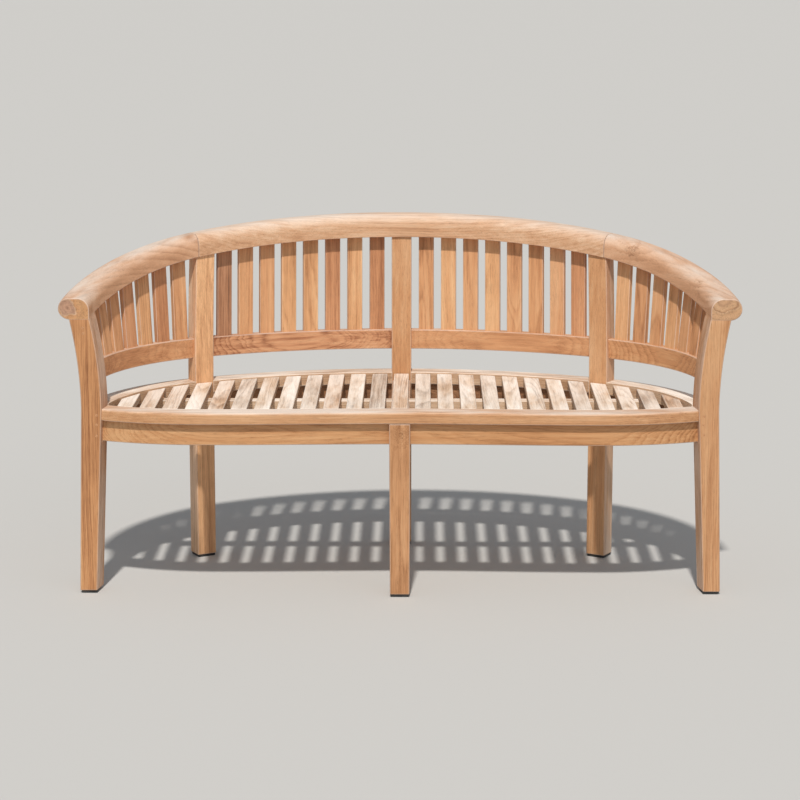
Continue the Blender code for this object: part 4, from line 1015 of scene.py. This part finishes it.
def make_seat():
    chance = random.Random(7)
    for i in range(-SLATS_PER_SIDE, SLATS_PER_SIDE + 1):
        middle = SLAT_PITCH * i
        rings = []
        for x in (middle - SLAT_WIDTH / 2, middle + SLAT_WIDTH / 2):
            front = front_line(x) + SEAT_RAIL_WIDTH + SLAT_END_GAP
            back = rear_edge(x) - SLAT_END_GAP
            rings.append([Vector((x, front, SLAT_BOTTOM)), Vector((x, back, SLAT_BOTTOM)),
                          Vector((x, back, SEAT_HEIGHT)), Vector((x, front, SEAT_HEIGHT))])
        points, faces = loft(rings)
        place = i + SLATS_PER_SIDE
        cut = chance.choice(("flat", "flat", "quarter", "rift"))
        board("seat_slat_{:02d}".format(place + 1), points, faces, Grain(100 + i, (0, 1, 0), UP, cut, 1.6),
              SEAT_LOOKS[SEAT_SLAT_LOOKS[place]], "seat_slats_with_bearer", SEAT_SLAT_EDGE)
    end = bearer_end()
    outline = rectangle(BEARER_WIDTH, BEARER_HEIGHT, BEARER_FORWARD, SLAT_BOTTOM - BEARER_HEIGHT / 2)
    points, faces = loft([[Vector((x, y, z)) for y, z in outline] for x in (-end, end)])
    board("seat_bearer", points, faces, Grain(130, (1, 0, 0), UP), "seat", "seat_slats_with_bearer")
    middle = SLAT_BOTTOM - HAIRLINE - CROSS_RAIL_HEIGHT / 2
    outline = rectangle(CROSS_RAIL_WIDTH, CROSS_RAIL_HEIGHT, 0, middle)
    ends = (CENTRE_LEG_Y + LEG_DEPTH / 2 - SINK, BOW_DEPTH - POST_FACE + SINK)
    points, faces = loft([ring(Vector((0, y, 0)), Vector((1, 0, 0)), outline) for y in ends])
    board("middle_rail", points, faces, Grain(131, (0, 1, 0), UP), "frame", "cross_rail")


# Back slats

def centre_bay_reaches():
    first = LOWER_BOW.reach_past_centre(POST_WIDTH / 2)
    last = LOWER_BOW.reach_before_post(POST_WIDTH / 2)
    clear = (last - first) * LOWER_BOW.radius * BOW_TURN
    gap = (clear - CENTRE_BAY_SLATS * BACK_SLAT_WIDTH) / (CENTRE_BAY_SLATS + 1)
    pairs = []
    for i in range(CENTRE_BAY_SLATS):
        low = mix(first, last, (gap + BACK_SLAT_WIDTH / 2 + (gap + BACK_SLAT_WIDTH) * i) / clear)
        pairs.append((low, asin(LOWER_BOW.point(low).x / TOP_BOW.radius) / BOW_TURN))
    return pairs


def side_bay_reaches():
    first = LOWER_BOW.reach_past_post(POST_WIDTH / 2)
    last = LOWER_BOW.reach_at_depth(LEG_DEPTH)
    pairs = []
    for i in range(SIDE_BAY_SLATS):
        low = mix(first, last, SIDE_SLAT_START_SHARE + SIDE_SLAT_PITCH_SHARE * i)
        pairs.append((low, TOP_BOW.reach_at_depth(LOWER_BOW.point(low).y + SIDE_SLAT_LEAN)))
    return pairs


# What each slat looks like, from the post or the middle outwards
SLAT_LOOKS = {
    "left_side": ("tan", "rose", "amber", "rose", "tan", "tan", "tan"),
    "left_centre": ("rose", "amber", "rose", "amber", "amber", "tan", "tan", "umber"),
    "right_side": ("amber", "tan", "tan", "amber", "tan", "tan", "tan"),
    "right_centre": ("tan", "amber", "tan", "amber", "tan", "tan", "plain", "rose"),
}


def back_slat(low_reach, high_reach):
    """Points and faces of a slat from its place on the lower rail to its place under the top rail,
    with its length and the way that its back looks.
    """
    low = LOWER_BOW.point(low_reach)
    low.z = LOWER_RAIL_MIDDLE + LOWER_RAIL_HEIGHT / 2 - 2 * SINK
    high = TOP_BOW.point(high_reach)
    high.z = underside(high_reach) + 2 * SINK
    across = (LOWER_BOW.tangent(low_reach) + TOP_BOW.tangent(high_reach)).normalized()
    away = UP.cross(across)
    high -= away * SLAT_HEAD_FORWARD
    outline = rectangle(BACK_SLAT_WIDTH, BACK_SLAT_THICKNESS)
    points, faces = loft([[spot + across * x + away * y for x, y in outline] for spot in (low, high)])
    return points, faces, high - low, away


def make_back_slats():
    number = 0
    chance = random.Random(3)
    for side_name, side in SIDES.items():
        for bay in ("side", "centre"):
            pairs = centre_bay_reaches() if bay == "centre" else side_bay_reaches()
            for i, (low_reach, high_reach) in enumerate(pairs):
                points, faces, along, away = back_slat(side * low_reach, side * high_reach)
                if bay == "side" and i == SIDE_BAY_SLATS - 1:
                    node, name = "lower_back_rail_" + side_name + "_side", "back_board_end_" + side_name
                else:
                    number += 1
                    node = "back_slat_{:02d}".format(number)
                    name = "back_board_{:02d}".format(number)
                look = SLAT_LOOKS[side_name + "_" + bay][i]
                cut = chance.choice(("flat", "quarter", "rift", "flat"))
                board(name, points, faces, Grain(200 + number + 50 * side, along, away, cut, 1.8),
                      look, node, BACK_SLAT_EDGE)


# Plugs over the pegs of the rails' tenons, and over two more near the top of the left leg

def make_plugs():
    for name, places in PLUG_PLACES.items():
        for number, (x, z) in enumerate(places, 1):
            circle = arc((x, z), (PLUG_RADIUS, PLUG_RADIUS), 0, 2 * pi, PLUG_SIDES)[:-1]
            points, faces = loft([[Vector((across, y, up)) for across, up in circle]
                                  for y in (PLUG_LENGTH, -PLUG_PROUD)])
            board("plug_{}_{}".format(name, number), points, faces,
                  Grain(300 + number, (0, 1, 0), UP, "rift"), "tan", None, PLUG_PROUD, 1)


# Glides

def make_glide_plastic():
    material = bpy.data.materials.new("black_moulded_plastic")
    material.use_nodes = True
    tree = Tree(material)
    shader = tree.nodes["Principled BSDF"]
    place = tree.nodes.new("ShaderNodeTexCoord").outputs["Object"]
    dust = tree.noise(place, GLIDE_DUST, 4, 0.6)
    tree.put(shader.inputs["Base Color"], tree.ramp(dust, GLIDE_TONES))
    tree.put(shader.inputs["Roughness"], tree.ramp(dust, GLIDE_ROUGHNESS))
    tree.bump(shader, tree.noise(place, GLIDE_PITS, 2), 0.2, GLIDE_PIT_DEPTH)
    return material


def dress_glides():
    plastic = make_glide_plastic()
    for name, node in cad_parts.items():
        if name.startswith("glide"):
            for slot in node.material_slots:
                slot.material = plastic
            soft = node.modifiers.new("soft_edges", "BEVEL")
            soft.width = GLIDE_EDGE
            soft.segments = 2
            soft.limit_method = "ANGLE"


# Floor, light and camera

def make_studio():
    """A pale floor that fills the view, an even sky, a high key from the front and a wide, low fill
    from the right.
    """
    mesh = bpy.data.meshes.new("studio_floor")
    edge = arc((0, 0), (FLOOR_REACH, FLOOR_REACH), 0, 2 * pi, FLOOR_CORNERS)[:-1]
    mesh.from_pydata([(x, y, 0) for x, y in edge], [], [tuple(range(FLOOR_CORNERS))])
    floor = bpy.data.objects.new("studio_floor", mesh)
    bpy.context.scene.collection.objects.link(floor)
    material = bpy.data.materials.new("studio_floor_paint")
    material.use_nodes = True
    shader = material.node_tree.nodes["Principled BSDF"]
    shader.inputs["Base Color"].default_value = FLOOR_PAINT
    shader.inputs["Roughness"].default_value = FLOOR_ROUGHNESS
    shader.inputs["Specular IOR Level"].default_value = FLOOR_SHEEN
    mesh.materials.append(material)

    world = bpy.data.worlds.new("studio_light")
    world.use_nodes = True
    sky = world.node_tree.nodes["Background"]
    sky.inputs["Color"].default_value = SKY
    sky.inputs["Strength"].default_value = SKY_STRENGTH
    bpy.context.scene.world = world
    for name, toward, turn, power, colour in LIGHTS:
        light = bpy.data.lights.new(name + "_light", "SUN")
        light.angle = radians(turn)
        light.energy = power
        light.color = colour
        lamp = bpy.data.objects.new(name + "_light", light)
        lamp.rotation_euler = (-Vector(toward)).to_track_quat("-Z", "Y").to_euler()
        bpy.context.scene.collection.objects.link(lamp)


def make_camera():
    camera = bpy.data.cameras.new("camera")
    camera.sensor_width = SENSOR
    camera.lens = LENS
    camera.clip_start, camera.clip_end = CLIP
    item = bpy.data.objects.new("camera", camera)
    item.location = CAMERA_PLACE
    item.rotation_euler = CAMERA_TURN
    bpy.context.scene.collection.objects.link(item)
    bpy.context.scene.camera = item


bpy.context.scene.view_settings.view_transform = "Standard"
make_camera()
make_studio()
make_top_rails()
make_front_legs()
make_posts()
make_bay_rails()
make_front_rails()
make_seat()
make_back_slats()
make_plugs()
dress_glides()
